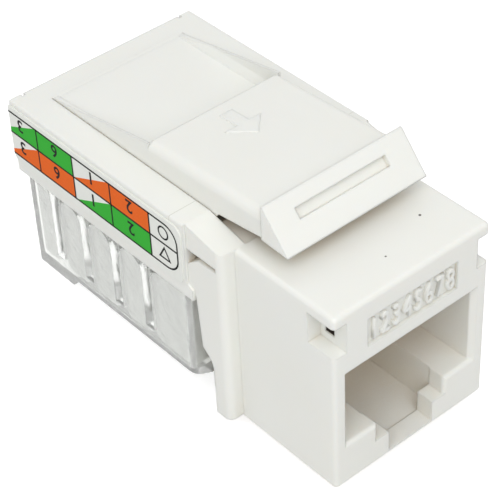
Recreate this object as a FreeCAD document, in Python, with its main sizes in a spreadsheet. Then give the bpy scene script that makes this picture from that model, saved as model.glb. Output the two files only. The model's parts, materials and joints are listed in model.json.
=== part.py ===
"""Keystone jack: an eight-way modular socket that snaps into a wall plate or patch panel.

Frame, millimetres: X across the jack, +Y from the front face to the rear, +Z up towards the latch.
The origin is the middle of the plug port's mouth, in the plane of the front face.

The jack is a moulded housing with a sprung latch on top. Behind the port a plastic carrier holds
eight bent wire contacts, which run to a small circuit board. Under the board a terminal block
holds eight forked blades that cut into the cable's wires, and a clear cap closes it from below.
"""
import FreeCAD
import Part

import math
import os

import Sketcher

PORT_WAYS = 8
SLOTS_PER_SIDE = 4

# Closeness, in millimetres, at which an edge's end counts as lying on a plane.
TOUCH = 1e-4

# Driving dimensions: alias, value, meaning. Lengths are millimetres, angles are degrees.
DIMENSIONS = [
    # Front block, the part that shows through the plate
    ("face_width", 14.5, "front block across X, the standard opening"),
    ("face_height", 15.9, "front block from its sole to its top lip"),
    ("block_depth", 9.75, "front face to the stops that meet the back of the plate"),
    ("edge_radius", 0.35, "rounding of the front block's outer edges"),
    # Plug port
    ("port_width", 11.88, "plug port across X"),
    ("port_height", 6.8, "plug port from sill to roof"),
    ("port_sill", 3.8, "sill of the port above the block's sole"),
    ("port_depth", 12.6, "front face to the back of the port"),
    ("sill_depth", 1.5, "thickness of the sill that the plug's tab hooks behind"),
    ("tab_slot_width", 6.55, "wide step of the tab slot"),
    ("tab_slot_drop", 1.6, "wide step below the sill"),
    ("tab_neck_width", 4.25, "narrow step of the tab slot"),
    ("tab_neck_drop", 3.4, "narrow step below the sill"),
    ("tab_room_length", 7.6, "room behind the sill for the plug's tab, along Y"),
    ("tab_room_play", 0.08, "room for the tab wider than the slot's wide step, each side"),
    ("tab_room_sink", 0.12, "room for the tab below the slot's narrow step"),
    ("sill_round", 0.3, "rounding of the sill's front edges"),
    ("mouth_lead", 0.4, "lead-in chamfer at the port's sides"),
    # Upper corners of the front block
    ("lip_height", 0.92, "thickness of the lip along the top edge"),
    ("notch_width", 1.15, "corner notch under the lip, across X"),
    ("notch_height", 2.6, "corner notch, along Z"),
    ("notch_depth", 2.55, "corner notch, along Y"),
    ("peep_size", 0.9, "square coring hole in the notch's inner wall"),
    ("peep_drop", 1.56, "coring hole's middle below the lip"),
    ("panel_width", 8.4, "sunk marking panel above the port"),
    ("panel_height", 2.45, "sunk marking panel, along Z"),
    ("panel_sink", 0.3, "depth of the marking panel"),
    ("panel_rise", 1.12, "marking panel above the port's roof"),
    # Fixed lug under the front block
    ("lug_width", 11.0, "fixed lug across X"),
    ("lug_drop", 1.0, "fixed lug below the sole"),
    ("lug_length", 2.65, "fixed lug along Y"),
    ("lug_sole", 1.75, "flat at the lug's foot, along Y"),
    ("plate_gap", 1.85, "room for the wall plate between lug or latch head and the stops"),
    # Shoulders and stop posts behind the front block
    ("shoulder_inset", 0.2, "stop posts' outside inside the body's sides"),
    ("shoulder_drop", 0.75, "shoulder's front below the body's top"),
    ("post_depth", 2.95, "stop post along Y, at its top"),
    ("post_foot_depth", 1.5, "stop post along Y, at its foot"),
    ("post_waist_rise", 2.27, "post's waist above the port's floor"),
    ("post_flare", 1.5, "height over which the post widens to its waist"),
    ("post_bulge", 0.25, "post's extra depth half way up its flare"),
    ("post_radius", 0.6, "rounding of the post's outer front edge"),
    ("throat_width", 13.8, "neck between the front block and the body"),
    ("side_slit_height", 0.36, "slit in the shoulder's side, along Z"),
    ("side_slit_drop", 1.36, "slit below the shoulder's front"),
    ("side_slit_end", 0.05, "wall between the slit's mouth and the body"),
    ("side_slit_mouth", 1.1, "slit's wider mouth along Y"),
    ("side_slit_taper", 0.08, "slit's extra height where its mouth starts"),
    ("side_slit_mouth_height", 1.3, "slit's wider mouth along Z"),
    ("side_slit_depth", 1.9, "slit's depth from the shoulder's side"),
    # Rear body
    ("body_width", 17.4, "rear body across X"),
    ("body_front", 13.4, "front face to the rear body's front"),
    ("body_rear", 33.75, "front face to the rear ends of the side walls"),
    ("body_height", 6.45, "rear body from its open underside to its top"),
    ("body_top_rise", 0.75, "rear body's top above the front block's lip"),
    ("shell_wall", 0.9, "wall of the rear body"),
    ("body_edge_radius", 0.15, "rounding of the rear body's long top edges"),
    ("body_corner_radius", 0.12, "rounding of the rear body's upright corners"),
    ("rear_sink", 0.12, "rear wall ahead of the side walls' ends"),
    ("rear_sink_margin", 1.05, "width of each side wall's end, across X"),
    ("rear_crease", 0.25, "crease between the rear wall and each side wall's end"),
    ("tongue_reach", 0.6, "tongue on each side of the body, ahead of its front"),
    ("tongue_height", 1.2, "tongue's slope meets the body's front above its underside"),
    ("tongue_slope", 0.3, "drop of the tongue's upper slope"),
    ("well_depth", 1.66, "well for the latch below the body's top"),
    ("well_front", 12.75, "front face to the deep part of the well"),
    ("well_apron", 0.15, "shallow front part of the well below the front block's top"),
    # Latch
    ("arm_width", 12.4, "latch arm across X"),
    ("arm_gap", 0.06, "slit on each side of the latch arm"),
    ("arm_lift", 0.1, "plateau's underside above the body's top"),
    ("arm_stop_gap", 0.02, "gap between the latch's upright rear face and the body"),
    ("arm_thickness", 0.9, "bending part of the arm, along Z"),
    ("arm_root_radius", 0.55, "rounded root of the latch"),
    ("arm_root_heel", 0.5, "root's web below the middle of its rounding"),
    ("groove_play", 0.05, "play around the latch's root"),
    ("arm_root_inset", 2.2, "latch root ahead of the body's rear"),
    ("ramp_length", 11.5, "ramp from the root to the plateau's step"),
    ("plateau_rear_rise", 2.05, "plateau's rear edge above the body's top"),
    ("plateau_front_rise", 2.75, "plateau's front edge above the body's top"),
    ("step_lean", 0.2, "lean of the plateau's rear step, along Y"),
    ("rib_foot", 0.48, "ramp rib's width at its foot, across X"),
    ("rib_crest", 0.18, "ramp rib's width at its crest, across X"),
    ("rib_bevel", 0.7, "height of the bevel at the rib's foot"),
    ("arm_edge_radius", 0.7, "rounding of the plateau's long edges"),
    ("core_wall", 1.1, "wall left around the coring under the plateau"),
    ("head_width", 12.76, "latch head across X"),
    ("head_rise", 0.76, "latch head above the plateau"),
    ("head_length", 2.47, "latch head's slope along Y"),
    ("head_height", 2.86, "latch head's slope along Z"),
    ("head_crest", 0.18, "flat along the latch head's top"),
    ("head_heel", 0.1, "rise of the latch head's underside to its back"),
    ("head_slot_width", 8.26, "grip slot in the head's slope, across X"),
    ("head_slot_depth", 0.45, "grip slot's depth"),
    ("head_slot_start", 0.5, "grip slot's lower edge, as a share of the slope"),
    ("head_slot_end", 0.72, "grip slot's upper edge, as a share of the slope"),
    # Contact carrier and port contacts
    ("way_pitch", 1.016, "spacing of the port contacts"),
    ("wire_width", 0.46, "port contact across X"),
    ("wire_thickness", 0.3, "port contact's thickness"),
    ("wire_play", 0.07, "play of a contact in its groove, each side"),
    ("wire_sink", 0.1, "port contact's top below the carrier's top"),
    ("carrier_height", 1.2, "carrier's plate along Z"),
    ("carrier_front", 1.45, "front face to the carrier's nose"),
    ("carrier_rear", 16.0, "front face to the carrier's tail"),
    ("carrier_play", 0.06, "play of the carrier in its channel, each side"),
    ("front_wall", 1.2, "wall between the front face and the carrier's channel"),
    ("channel_headroom", 0.16, "room over the carrier's plate"),
    ("channel_ledge", 0.3, "ledge under each edge of the carrier's plate"),
    ("bend_radius", 0.55, "front bend of a port contact"),
    ("bend_front", 2.35, "front face to the contact's front bend"),
    ("foot_radius", 0.4, "bend where a contact turns up into the board"),
    ("tip_reach", 11.85, "front face to the contact's free tip"),
    ("tip_drop", 2.5, "free tip below the port's roof"),
    ("comb_depth", 0.9, "comb behind the tips, along Y"),
    ("comb_drop", 2.9, "comb below the port's roof"),
    ("comb_web", 0.3, "wall behind the comb's slots"),
    # Circuit board
    ("board_thickness", 1.2, "circuit board along Z"),
    ("board_play", 0.3, "circuit board's play in the body, each side"),
    ("pin_proud", 0.45, "solder pins above the board"),
    ("pin_row_front", 14.55, "front face to the first row of contact pins"),
    ("pin_row_step", 0.95, "second row of contact pins behind the first"),
    ("wire_hole_diameter", 0.75, "board's holes for the port contacts"),
    ("blade_hole_diameter", 0.95, "board's holes for the terminal blades"),
    # Terminal block
    ("slot_first", 19.1, "front face to the first wire slot"),
    ("slot_pitch", 3.7, "spacing of the wire slots"),
    ("slot_width", 0.8, "wire slot in the terminal block, along Y"),
    ("slot_lead", 0.45, "lead-in chamfer at a wire slot's mouth"),
    ("deck_thickness", 1.45, "terminal block's deck below the body"),
    ("deck_inset", 1.3, "terminal block's deck inside the body's sides"),
    ("tower_width", 3.0, "each row of towers across X"),
    ("tower_height", 6.58, "towers below the deck"),
    ("seat_gap", 0.15, "gap around the terminal block's seat in the body"),
    ("seat_sink", 0.05, "terminal block's seat above the body's underside"),
    # Terminal blades
    ("blade_thickness", 0.4, "terminal blade across X"),
    ("blade_width", 2.2, "terminal blade along Y"),
    ("blade_inset", 1.4, "terminal blade's middle inside the tower's outer face"),
    ("blade_height", 5.3, "terminal blade's fork below the deck"),
    ("blade_slit", 0.32, "cutting slit between the blade's tines"),
    ("blade_slit_depth", 3.6, "length of the cutting slit"),
    ("blade_pin_width", 0.6, "terminal blade's pin, along Y"),
    ("blade_play", 0.06, "play of a blade in its pocket, each side"),
    # Clear cap
    ("cap_inset", 0.53, "cap's sides inside the body's sides"),
    ("cap_wall", 0.7, "cap's wall"),
    ("cap_front", 14.0, "front face to the cap's front"),
    ("cap_rear_inset", 0.05, "cap's rear inside the body's rear"),
    ("cap_floor", 0.75, "cap's floor along Z"),
    ("cap_bevel_width", 1.6, "bevel of the cap's long lower edges, across X"),
    ("cap_bevel_height", 0.72, "bevel of the cap's long lower edges, along Z"),
    ("cap_lip_length", 4.8, "unbevelled rear end of the cap, along Y"),
    ("cap_gap", 0.12, "gap between the cap's upper edge and the body"),
    ("cap_clearance", 0.3, "gap between the cap's floor and the towers"),
    ("cap_slot_width", 0.95, "wire slot in the cap's side"),
    ("cap_slot_sill", 2.0, "cap's slots stop this far above its underside"),
    ("cap_arch_flat", 0.1, "flat left at the crest of each arch beside the cap's slots"),
    ("cap_arch_drop", 0.6, "crests of the arches below the cap's upper edge"),
    ("cap_shoulder", 1.5, "full-height wall at the cap's front, along Y"),
    ("cap_corner_radius", 0.6, "rounding of the cap's upright corners"),
    ("rib_thickness", 0.45, "cap's pressing rib, along Y"),
    ("rib_height", 1.3, "cap's pressing rib above its floor"),
    ("rib_inset", 0.6, "cap's pressing rib inside the tower's faces"),
    # Wiring labels
    ("label_thickness", 0.12, "wiring label across X"),
    ("label_margin", 0.25, "label's front edge behind the body's front"),
    ("label_top_gap", 0.45, "label's edge below the body's top"),
    ("label_height", 5.05, "wiring label along Z"),
    ("label_radius", 0.7, "label's rounding, save at its upper rear corner"),
]


class Size:
    """A length that keeps its formula, so that every feature stays bound to the spreadsheet."""

    def __init__(self, formula, value):
        self.formula = formula
        self.value = float(value)

    def _combine(self, other, sign, value):
        right = other.formula if isinstance(other, Size) else f"{float(other):.6g}"
        return Size(f"({self.formula} {sign} {right})", value)

    def __add__(self, other):
        return self._combine(other, "+", self.value + number(other))

    def __sub__(self, other):
        return self._combine(other, "-", self.value - number(other))

    def __mul__(self, factor):
        return self._combine(factor, "*", self.value * number(factor))

    def __truediv__(self, divisor):
        return self._combine(divisor, "/", self.value / number(divisor))

    def __neg__(self):
        return Size(f"(0 - {self.formula})", -self.value)


def number(value):
    return value.value if isinstance(value, Size) else float(value)


def formula(value):
    return value.formula if isinstance(value, Size) else f"{float(value):.6g}"


ZERO = Size("0", 0)

doc = FreeCAD.newDocument("KeystoneJack")
sheet = doc.addObject("Spreadsheet::Sheet", "Sizes")


def fill_sheet():
    """Writes the driving dimensions and returns them by alias."""
    sizes = {}
    for row, (alias, value, meaning) in enumerate(DIMENSIONS, start=1):
        sheet.set(f"A{row}", alias)
        sheet.set(f"B{row}", str(value))
        sheet.set(f"C{row}", meaning)
        sheet.setAlias(f"B{row}", alias)
        sizes[alias] = Size(f"Sizes.{alias}", value)
    doc.recompute()
    return sizes


class Sizes:
    """Gives each driving dimension as an attribute."""


dim = Sizes()
dim.__dict__.update(fill_sheet())


# ---------------------------------------------------------------- shared levels and stations

port_roof = dim.port_height / 2
port_floor = -port_roof
sole = port_floor - dim.port_sill
block_top = sole + dim.face_height
lip_under = block_top - dim.lip_height
body_top = block_top + dim.body_top_rise
body_under = body_top - dim.body_height
well_floor = body_top - dim.well_depth
ceiling = well_floor - dim.shell_wall
shoulder_top = body_top - dim.shoulder_drop
head_back = dim.block_depth - dim.plate_gap

carrier_top = port_roof + dim.carrier_height
wire_level = carrier_top - dim.wire_thickness / 2 - dim.wire_sink
board_top = carrier_top + dim.board_thickness
pin_top = board_top + dim.pin_proud
deck_under = body_under - dim.deck_thickness
tower_tip = deck_under - dim.tower_height
cap_inside = tower_tip - dim.cap_clearance
cap_under = cap_inside - dim.cap_floor
cap_top = body_under - dim.cap_gap
blade_tip = deck_under - dim.blade_height

body_half = dim.body_width / 2
shoulder_half = body_half - dim.shoulder_inset
deck_half = body_half - dim.deck_inset
tower_inner = deck_half - dim.tower_width
blade_offset = deck_half - dim.blade_inset
cap_half = body_half - dim.cap_inset
cap_rear = dim.body_rear - dim.cap_rear_inset
deck_front = dim.cap_front + dim.cap_wall + dim.seat_gap
deck_rear = cap_rear - dim.cap_wall - dim.seat_gap

LEFT, RIGHT = -1, 1


def slot_station(index):
    """Middle of a wire slot along Y; slots count from the front."""
    return dim.slot_first + dim.slot_pitch * index


def way_offset(index):
    """Middle of a port contact along X; contacts count from the left."""
    return dim.way_pitch * (index - (PORT_WAYS - 1) / 2)


def pin_station(index):
    """The contacts' pins stand in two staggered rows."""
    return dim.pin_row_front + dim.pin_row_step * (index % 2)


# ---------------------------------------------------------------- sketch and feature helpers

PLANES = {"X": "YZ_Plane", "Y": "XZ_Plane", "Z": "XY_Plane"}


def new_body(name):
    body = doc.addObject("PartDesign::Body", name)
    body.Label = name
    return body


def new_sketch(body, name, axis, station):
    """A sketch square to an axis, at a station along it."""
    sketch = body.newObject("Sketcher::SketchObject", f"{body.Name}_{name}_sketch")
    role = PLANES[axis]
    origin_plane = next(item for item in body.Origin.OriginFeatures if item.Role == role)
    sketch.AttachmentSupport = (origin_plane, [""])
    sketch.MapMode = "FlatFace"
    # The XZ plane faces -Y, so its offset counts backwards.
    offset = -station if axis == "Y" else station
    sketch.setExpression(".AttachmentOffset.Base.z", formula(offset))
    return sketch


def bind(sketch, constraint, text):
    sketch.setExpression(f"Constraints[{constraint}]", text)


def pin_point(sketch, geometry, vertex, point):
    """Fixes a vertex at a point given by two sizes."""
    for kind, size in zip(("DistanceX", "DistanceY"), point):
        constraint = Sketcher.Constraint(kind, -1, 1, geometry, vertex, number(size))
        bind(sketch, sketch.addConstraint(constraint), formula(size))


def draw_polygon(sketch, points):
    """A closed outline of straight edges through the points."""
    corners = [FreeCAD.Vector(number(u), number(v), 0) for u, v in points]
    first = sketch.GeometryCount
    count = len(corners)
    for here in range(count):
        sketch.addGeometry(Part.LineSegment(corners[here], corners[(here + 1) % count]))
    for here in range(count):
        after = first + (here + 1) % count
        sketch.addConstraint(Sketcher.Constraint("Coincident", first + here, 2, after, 1))
    for here, point in enumerate(points):
        pin_point(sketch, first + here, 1, point)


def draw_circle(sketch, centre, diameter):
    middle = FreeCAD.Vector(number(centre[0]), number(centre[1]), 0)
    circle = Part.Circle(middle, FreeCAD.Vector(0, 0, 1), number(diameter) / 2)
    index = sketch.addGeometry(circle)
    pin_point(sketch, index, 3, centre)
    constraint = Sketcher.Constraint("Diameter", index, number(diameter))
    bind(sketch, sketch.addConstraint(constraint), formula(diameter))


def rectangle(low_u, high_u, low_v, high_v):
    return [(low_u, low_v), (high_u, low_v), (high_u, high_v), (low_u, high_v)]


def pad(body, name, axis, low, high, *outlines):
    """Adds outlines swept along an axis from low to high."""
    # The XZ sketch faces -Y, so it starts at the high end.
    sketch = new_sketch(body, name, axis, high if axis == "Y" else low)
    for points in outlines:
        draw_polygon(sketch, points)
    feature = body.newObject("PartDesign::Pad", f"{body.Name}_{name}")
    feature.Profile = sketch
    feature.setExpression("Length", formula(high - low))
    return feature


def pocket(body, name, axis, low, high, *outlines, circles=()):
    """Cuts outlines or circles swept along an axis from low to high."""
    sketch = new_sketch(body, name, axis, low if axis == "Y" else high)
    for points in outlines:
        draw_polygon(sketch, points)
    for centre, diameter in circles:
        draw_circle(sketch, centre, diameter)
    feature = body.newObject("PartDesign::Pocket", f"{body.Name}_{name}")
    feature.Profile = sketch
    feature.setExpression("Length", formula(high - low))
    return feature


def repeat(body, name, feature, direction, pitch, count):
    """Copies a feature along one of its sketch's own axes."""
    pattern = body.newObject("PartDesign::LinearPattern", f"{body.Name}_{name}")
    pattern.Originals = [feature]
    pattern.Direction = (feature.Profile[0], [direction])
    pattern.Occurrences = count
    pattern.setExpression("Length", formula(pitch * (count - 1)))
    body.Tip = pattern
    return pattern


def mirror(body, name, features):
    """Repeats features on the other side of the jack's middle plane."""
    side = next(item for item in body.Origin.OriginFeatures if item.Role == "YZ_Plane")
    mirrored = body.newObject("PartDesign::Mirrored", f"{body.Name}_{name}")
    mirrored.Originals = features
    mirrored.MirrorPlane = (side, [""])
    body.Tip = mirrored
    return mirrored


def near(value, size):
    return abs(value - number(size)) < TOUCH


def edge_names(shape, wanted):
    """Names of the straight edges whose two ends satisfy a test."""
    names = []
    for index, edge in enumerate(shape.Edges, start=1):
        ends = [vertex.Point for vertex in edge.Vertexes]
        if len(ends) == 2 and edge.Curve.TypeId == "Part::GeomLine" and wanted(*ends):
            names.append(f"Edge{index}")
    return names


def fillet(body, name, radius, wanted):
    doc.recompute()
    base = body.Tip
    feature = body.newObject("PartDesign::Fillet", f"{body.Name}_{name}")
    feature.Base = (base, edge_names(base.Shape, wanted))
    feature.setExpression("Radius", formula(radius))
    return feature


def chamfer(body, name, length, wanted):
    doc.recompute()
    base = body.Tip
    feature = body.newObject("PartDesign::Chamfer", f"{body.Name}_{name}")
    feature.Base = (base, edge_names(base.Shape, wanted))
    feature.setExpression("Size", formula(length))
    return feature


def along(axis):
    """A test for edges that run along one axis."""
    others = [other for other in "xyz" if other != axis]

    def runs(start, end):
        return all(near(getattr(start, other), getattr(end, other)) for other in others)
    return runs


along_x, along_y, along_z = along("x"), along("y"), along("z")


# ---------------------------------------------------------------- housing

def add_front_block(body):
    half = dim.face_width / 2
    pad(body, "block", "Y", ZERO, dim.block_depth, rectangle(-half, half, sole, block_top))

    def outer(start, end):
        front = near(start.y, 0) and near(end.y, 0)
        return front or along_y(start, end)
    fillet(body, "block_edges", dim.edge_radius, outer)


def add_neck_and_posts(body):
    half = dim.throat_width / 2
    inset = dim.edge_radius
    pad(body, "throat", "Y", dim.block_depth - inset, dim.body_front,
        rectangle(-half, half, sole + inset, body_under + inset))

    half = shoulder_half
    front = dim.block_depth
    post_rear = front + dim.post_depth
    foot_rear = front + dim.post_foot_depth
    waist = port_floor + dim.post_waist_rise
    post_foot = sole + inset
    pad(body, "posts", "X", -half, half, [
        (front, post_foot), (foot_rear, post_foot), (foot_rear, waist - dim.post_flare),
        (foot_rear + dim.post_bulge, waist - dim.post_flare / 2),
        (post_rear - inset, waist), (post_rear, body_under + inset),
        (dim.body_front, body_under + inset), (dim.body_front, body_top), (front, shoulder_top)])

    def post_front(start, end):
        outside = near(abs(start.x), half)
        return along_z(start, end) and outside and near(start.y, front)
    fillet(body, "post_edges", dim.post_radius, post_front)


def add_rear_shell(body):
    half = body_half
    front = dim.body_front
    tip = front - dim.tongue_reach
    crook = body_under + dim.tongue_height
    pad(body, "shell", "X", -half, half, [
        (tip, body_under), (dim.body_rear, body_under), (dim.body_rear, body_top),
        (front, body_top), (front, crook), (tip, crook - dim.tongue_slope)])

    def rear_corner(start, end):
        return along_z(start, end) and near(start.y, dim.body_rear)
    fillet(body, "shell_corners", dim.body_corner_radius, rear_corner)

    def long_top(start, end):
        high = near(start.z, body_top) and near(end.z, body_top)
        return high and along_y(start, end) and near(abs(start.x), half)
    fillet(body, "shell_edges", dim.body_edge_radius, long_top)

    # The rear wall stands a little inside the side walls' ends, with a crease beside each.
    inner = half - dim.rear_sink_margin
    rear = dim.body_rear
    pocket(body, "rear_wall", "Z", body_under, body_top, rectangle(-inner, inner, rear - dim.rear_sink, rear))
    crease = pocket(body, "crease", "Z", body_under, body_top,
                    rectangle(inner - dim.rear_crease, inner, rear - dim.rear_sink - dim.rear_crease, rear))
    mirror(body, "creases", [crease])


def add_lug(body):
    """The fixed lug hooks behind the plate's lower edge; its slope leads it in."""
    half = dim.lug_width / 2
    foot = sole - dim.lug_drop
    pad(body, "lug", "X", -half, half, [
        (head_back - dim.lug_length, sole), (head_back - dim.lug_length, sole + dim.edge_radius),
        (head_back, sole + dim.edge_radius), (head_back, foot), (head_back - dim.lug_sole, foot)])


def cut_port(body):
    half = dim.port_width / 2
    wide = dim.tab_slot_width / 2
    neck = dim.tab_neck_width / 2
    step = port_floor - dim.tab_slot_drop
    bottom = port_floor - dim.tab_neck_drop
    behind = dim.sill_depth
    pocket(body, "port", "Y", ZERO, dim.port_depth, rectangle(-half, half, port_floor, port_roof))
    pocket(body, "tab_slot", "Y", ZERO, behind, [
        (-neck, bottom), (neck, bottom), (neck, step), (wide, step), (wide, port_floor),
        (-wide, port_floor), (-wide, step), (-neck, step)])
    # Behind the sill the slot drops, so that the plug's tab can spring down and hook.
    room = wide + dim.tab_room_play
    pocket(body, "tab_room", "Y", behind, behind + dim.tab_room_length,
           rectangle(-room, room, bottom - dim.tab_room_sink, port_floor))

    def mouth_side(start, end):
        at_front = near(start.y, 0) and near(end.y, 0)
        return at_front and along_z(start, end) and near(abs(start.x), half)
    chamfer(body, "mouth", dim.mouth_lead, mouth_side)

    def sill_edge(start, end):
        at_front = near(start.y, 0) and near(end.y, 0)
        top = along_x(start, end) and near(start.z, port_floor)
        side = along_z(start, end) and near(abs(start.x), wide) and start.z + end.z > number(step) * 2
        return at_front and (top or side)
    fillet(body, "sill_edges", dim.sill_round, sill_edge)


def cut_front_corners(body):
    """A notch under each end of the lip, with a coring hole into the block's hollow."""
    half = dim.face_width / 2
    low = lip_under - dim.notch_height
    notch = pocket(body, "notch", "Y", ZERO, dim.notch_depth,
                   rectangle(-half, -half + dim.notch_width, low, lip_under))
    middle = dim.notch_depth - dim.peep_size
    centre = lip_under - dim.peep_drop
    half_peep = dim.peep_size / 2
    peep = pocket(body, "peep", "X", -half, -half + dim.notch_width + dim.front_wall,
                  rectangle(middle - half_peep, middle + half_peep,
                            centre - half_peep, centre + half_peep))
    mirror(body, "corners", [notch, peep])
    low = port_roof + dim.panel_rise
    pocket(body, "panel", "Y", ZERO, dim.panel_sink,
           rectangle(-dim.panel_width / 2, dim.panel_width / 2, low, low + dim.panel_height))


def cut_interior(body):
    """The carrier's channel over the port, the hollow above it and the room for the board."""
    ledge = dim.port_width / 2 + dim.channel_ledge
    top = carrier_top + dim.channel_headroom
    pocket(body, "channel", "Y", dim.front_wall, dim.body_front + dim.shell_wall,
           rectangle(-ledge, ledge, port_roof, top))
    half = dim.face_width / 2 - dim.notch_width - dim.shell_wall
    pocket(body, "hollow", "Y", dim.front_wall, dim.body_front + dim.shell_wall,
           rectangle(-half, half, port_roof + dim.carrier_height / 2, ceiling))
    half = body_half - dim.shell_wall
    pocket(body, "board_room", "Y", dim.body_front, dim.body_rear - dim.shell_wall,
           rectangle(-half, half, body_under, ceiling))
    half = dim.port_width / 2
    pocket(body, "comb_gate", "Y", dim.port_depth - dim.shell_wall, dim.body_front,
           rectangle(-half, half, port_roof - dim.comb_drop - dim.seat_gap, port_roof))


def cut_shoulder_slits(body):
    """A tapering slit in each shoulder's side, open into a small triangle at the body."""
    outside = shoulder_half
    inside = outside - dim.side_slit_depth
    top = shoulder_top - dim.side_slit_drop
    front = dim.block_depth + dim.post_radius
    rear = dim.body_front - dim.side_slit_end
    low = top - dim.side_slit_height
    slit = pocket(body, "slit", "X", -outside, -inside, [
        (front, low), (rear - dim.side_slit_mouth, low - dim.side_slit_taper),
        (rear, top - dim.side_slit_mouth_height), (rear, top), (front, top)])
    mirror(body, "slits", [slit])


def cut_latch_well(body):
    """The well lets the latch bend down; its rear end is a groove around the latch's root."""
    half = dim.arm_width / 2 + dim.arm_gap
    root_y = dim.body_rear - dim.arm_root_inset
    root_z = body_top - dim.arm_root_radius
    groove_radius = dim.arm_root_radius + dim.groove_play
    apron = block_top - dim.well_apron
    pocket(body, "well", "X", -half, half, [
        (dim.block_depth, apron), (dim.well_front, apron), (dim.well_front, well_floor),
        (root_y, well_floor), (root_y, body_top + dim.arm_lift),
        (dim.block_depth, body_top + dim.arm_lift)])
    sketch = new_sketch(body, "groove", "X", half)
    draw_circle(sketch, (root_y, root_z), groove_radius * 2)
    groove = body.newObject("PartDesign::Pocket", f"{body.Name}_groove")
    groove.Profile = sketch
    groove.setExpression("Length", formula(half * 2))
    # Above the middle of its rounding the root stands against an upright face.
    pad(body, "root_stop", "X", -half, half,
        rectangle(root_y + dim.arm_stop_gap, root_y + groove_radius * 1.2,
                  root_z + dim.groove_play, body_top))


def build_housing():
    body = new_body("housing")
    add_front_block(body)
    add_neck_and_posts(body)
    add_rear_shell(body)
    add_lug(body)
    cut_port(body)
    cut_interior(body)
    cut_front_corners(body)
    cut_shoulder_slits(body)
    cut_latch_well(body)
    return body


# ---------------------------------------------------------------- latch

def build_latch_arm():
    """A cantilever moulded on the housing; it bends at its root, where the arm is thin."""
    body = new_body("latch_arm")
    half = dim.arm_width / 2
    root_y = dim.body_rear - dim.arm_root_inset
    root_z = body_top - dim.arm_root_radius
    step_y = root_y - dim.ramp_length
    rear_crest = body_top + dim.plateau_rear_rise
    front_crest = body_top + dim.plateau_front_rise
    arm_under = body_top - dim.arm_thickness
    lift = body_top + dim.arm_lift
    head_top = front_crest + dim.head_rise
    crest_y = head_back - dim.head_crest
    tip_y = crest_y - dim.head_length
    tip_z = head_top - dim.head_height
    head_under = tip_z + dim.head_heel

    pad(body, "root", "X", -half, half, [
        (root_y, root_z - dim.arm_root_heel), (root_y, body_top), (step_y, body_top),
        (step_y, arm_under), (root_y - dim.arm_root_radius, arm_under)])
    sketch = new_sketch(body, "knuckle", "X", -half)
    draw_circle(sketch, (root_y, root_z), dim.arm_root_radius * 2)
    knuckle = body.newObject("PartDesign::Pad", f"{body.Name}_knuckle")
    knuckle.Profile = sketch
    knuckle.setExpression("Length", formula(dim.arm_width))
    pocket(body, "rear_face", "X", -half, half,
           rectangle(root_y, root_y + dim.arm_root_radius * 1.2, root_z, body_top))

    pad(body, "plateau", "X", -half, half, [
        (step_y + dim.step_lean, arm_under), (step_y + dim.step_lean, body_top),
        (step_y, rear_crest), (head_back, front_crest), (head_back, head_under),
        (dim.body_front - dim.arm_thickness, lift), (dim.body_front, arm_under)])

    def plateau_edge(start, end):
        outer = near(abs(start.x), half) and near(abs(end.x), half)
        stations = sorted((start.y, end.y))
        levels = sorted((start.z, end.z))
        runs = near(stations[0], head_back) and near(stations[1], step_y)
        return outer and runs and near(levels[0], rear_crest) and near(levels[1], front_crest)
    fillet(body, "plateau_edges", dim.arm_edge_radius, plateau_edge)

    # Two thin ribs climb from the root to the plateau; their inner faces are bevelled at the foot.
    inner = half - dim.rib_foot
    crest = half - dim.rib_crest
    rib = pad(body, "rib", "X", inner, half, [
        (root_y, body_top), (step_y, rear_crest), (step_y, arm_under),
        (root_y - dim.arm_root_radius, arm_under)])
    slope = pocket(body, "rib_slope", "Y", step_y, root_y, [
        (inner, body_top), (crest, body_top + dim.rib_bevel), (crest, rear_crest), (inner, rear_crest)])
    mirror(body, "ribs", [rib, slope])

    half_head = dim.head_width / 2
    pad(body, "head", "X", -half_head, half_head, [
        (tip_y, tip_z), (crest_y, head_top), (head_back, head_top), (head_back, head_under)])

    # The grip slot is cut square to the head's slope.
    run, climb = dim.head_length, dim.head_height
    slope = math.hypot(number(run), number(climb))
    sink_y, sink_z = climb / slope * dim.head_slot_depth, run / slope * dim.head_slot_depth
    low_y, low_z = tip_y + run * dim.head_slot_start, tip_z + climb * dim.head_slot_start
    high_y, high_z = tip_y + run * dim.head_slot_end, tip_z + climb * dim.head_slot_end
    half_slot = dim.head_slot_width / 2
    pocket(body, "grip", "X", -half_slot, half_slot, [
        (low_y - sink_y, low_z + sink_z), (high_y - sink_y, high_z + sink_z),
        (high_y + sink_y, high_z - sink_z), (low_y + sink_y, low_z - sink_z)])

    # Coring under the plateau keeps the wall even.
    half_core = half - dim.core_wall
    wall = dim.core_wall
    pocket(body, "core", "X", -half_core, half_core, [
        (step_y - wall, arm_under - wall), (step_y - wall, rear_crest - wall),
        (head_back + wall, front_crest - wall), (head_back + wall, arm_under - wall)])
    return body


# ---------------------------------------------------------------- contacts and their carrier

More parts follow.
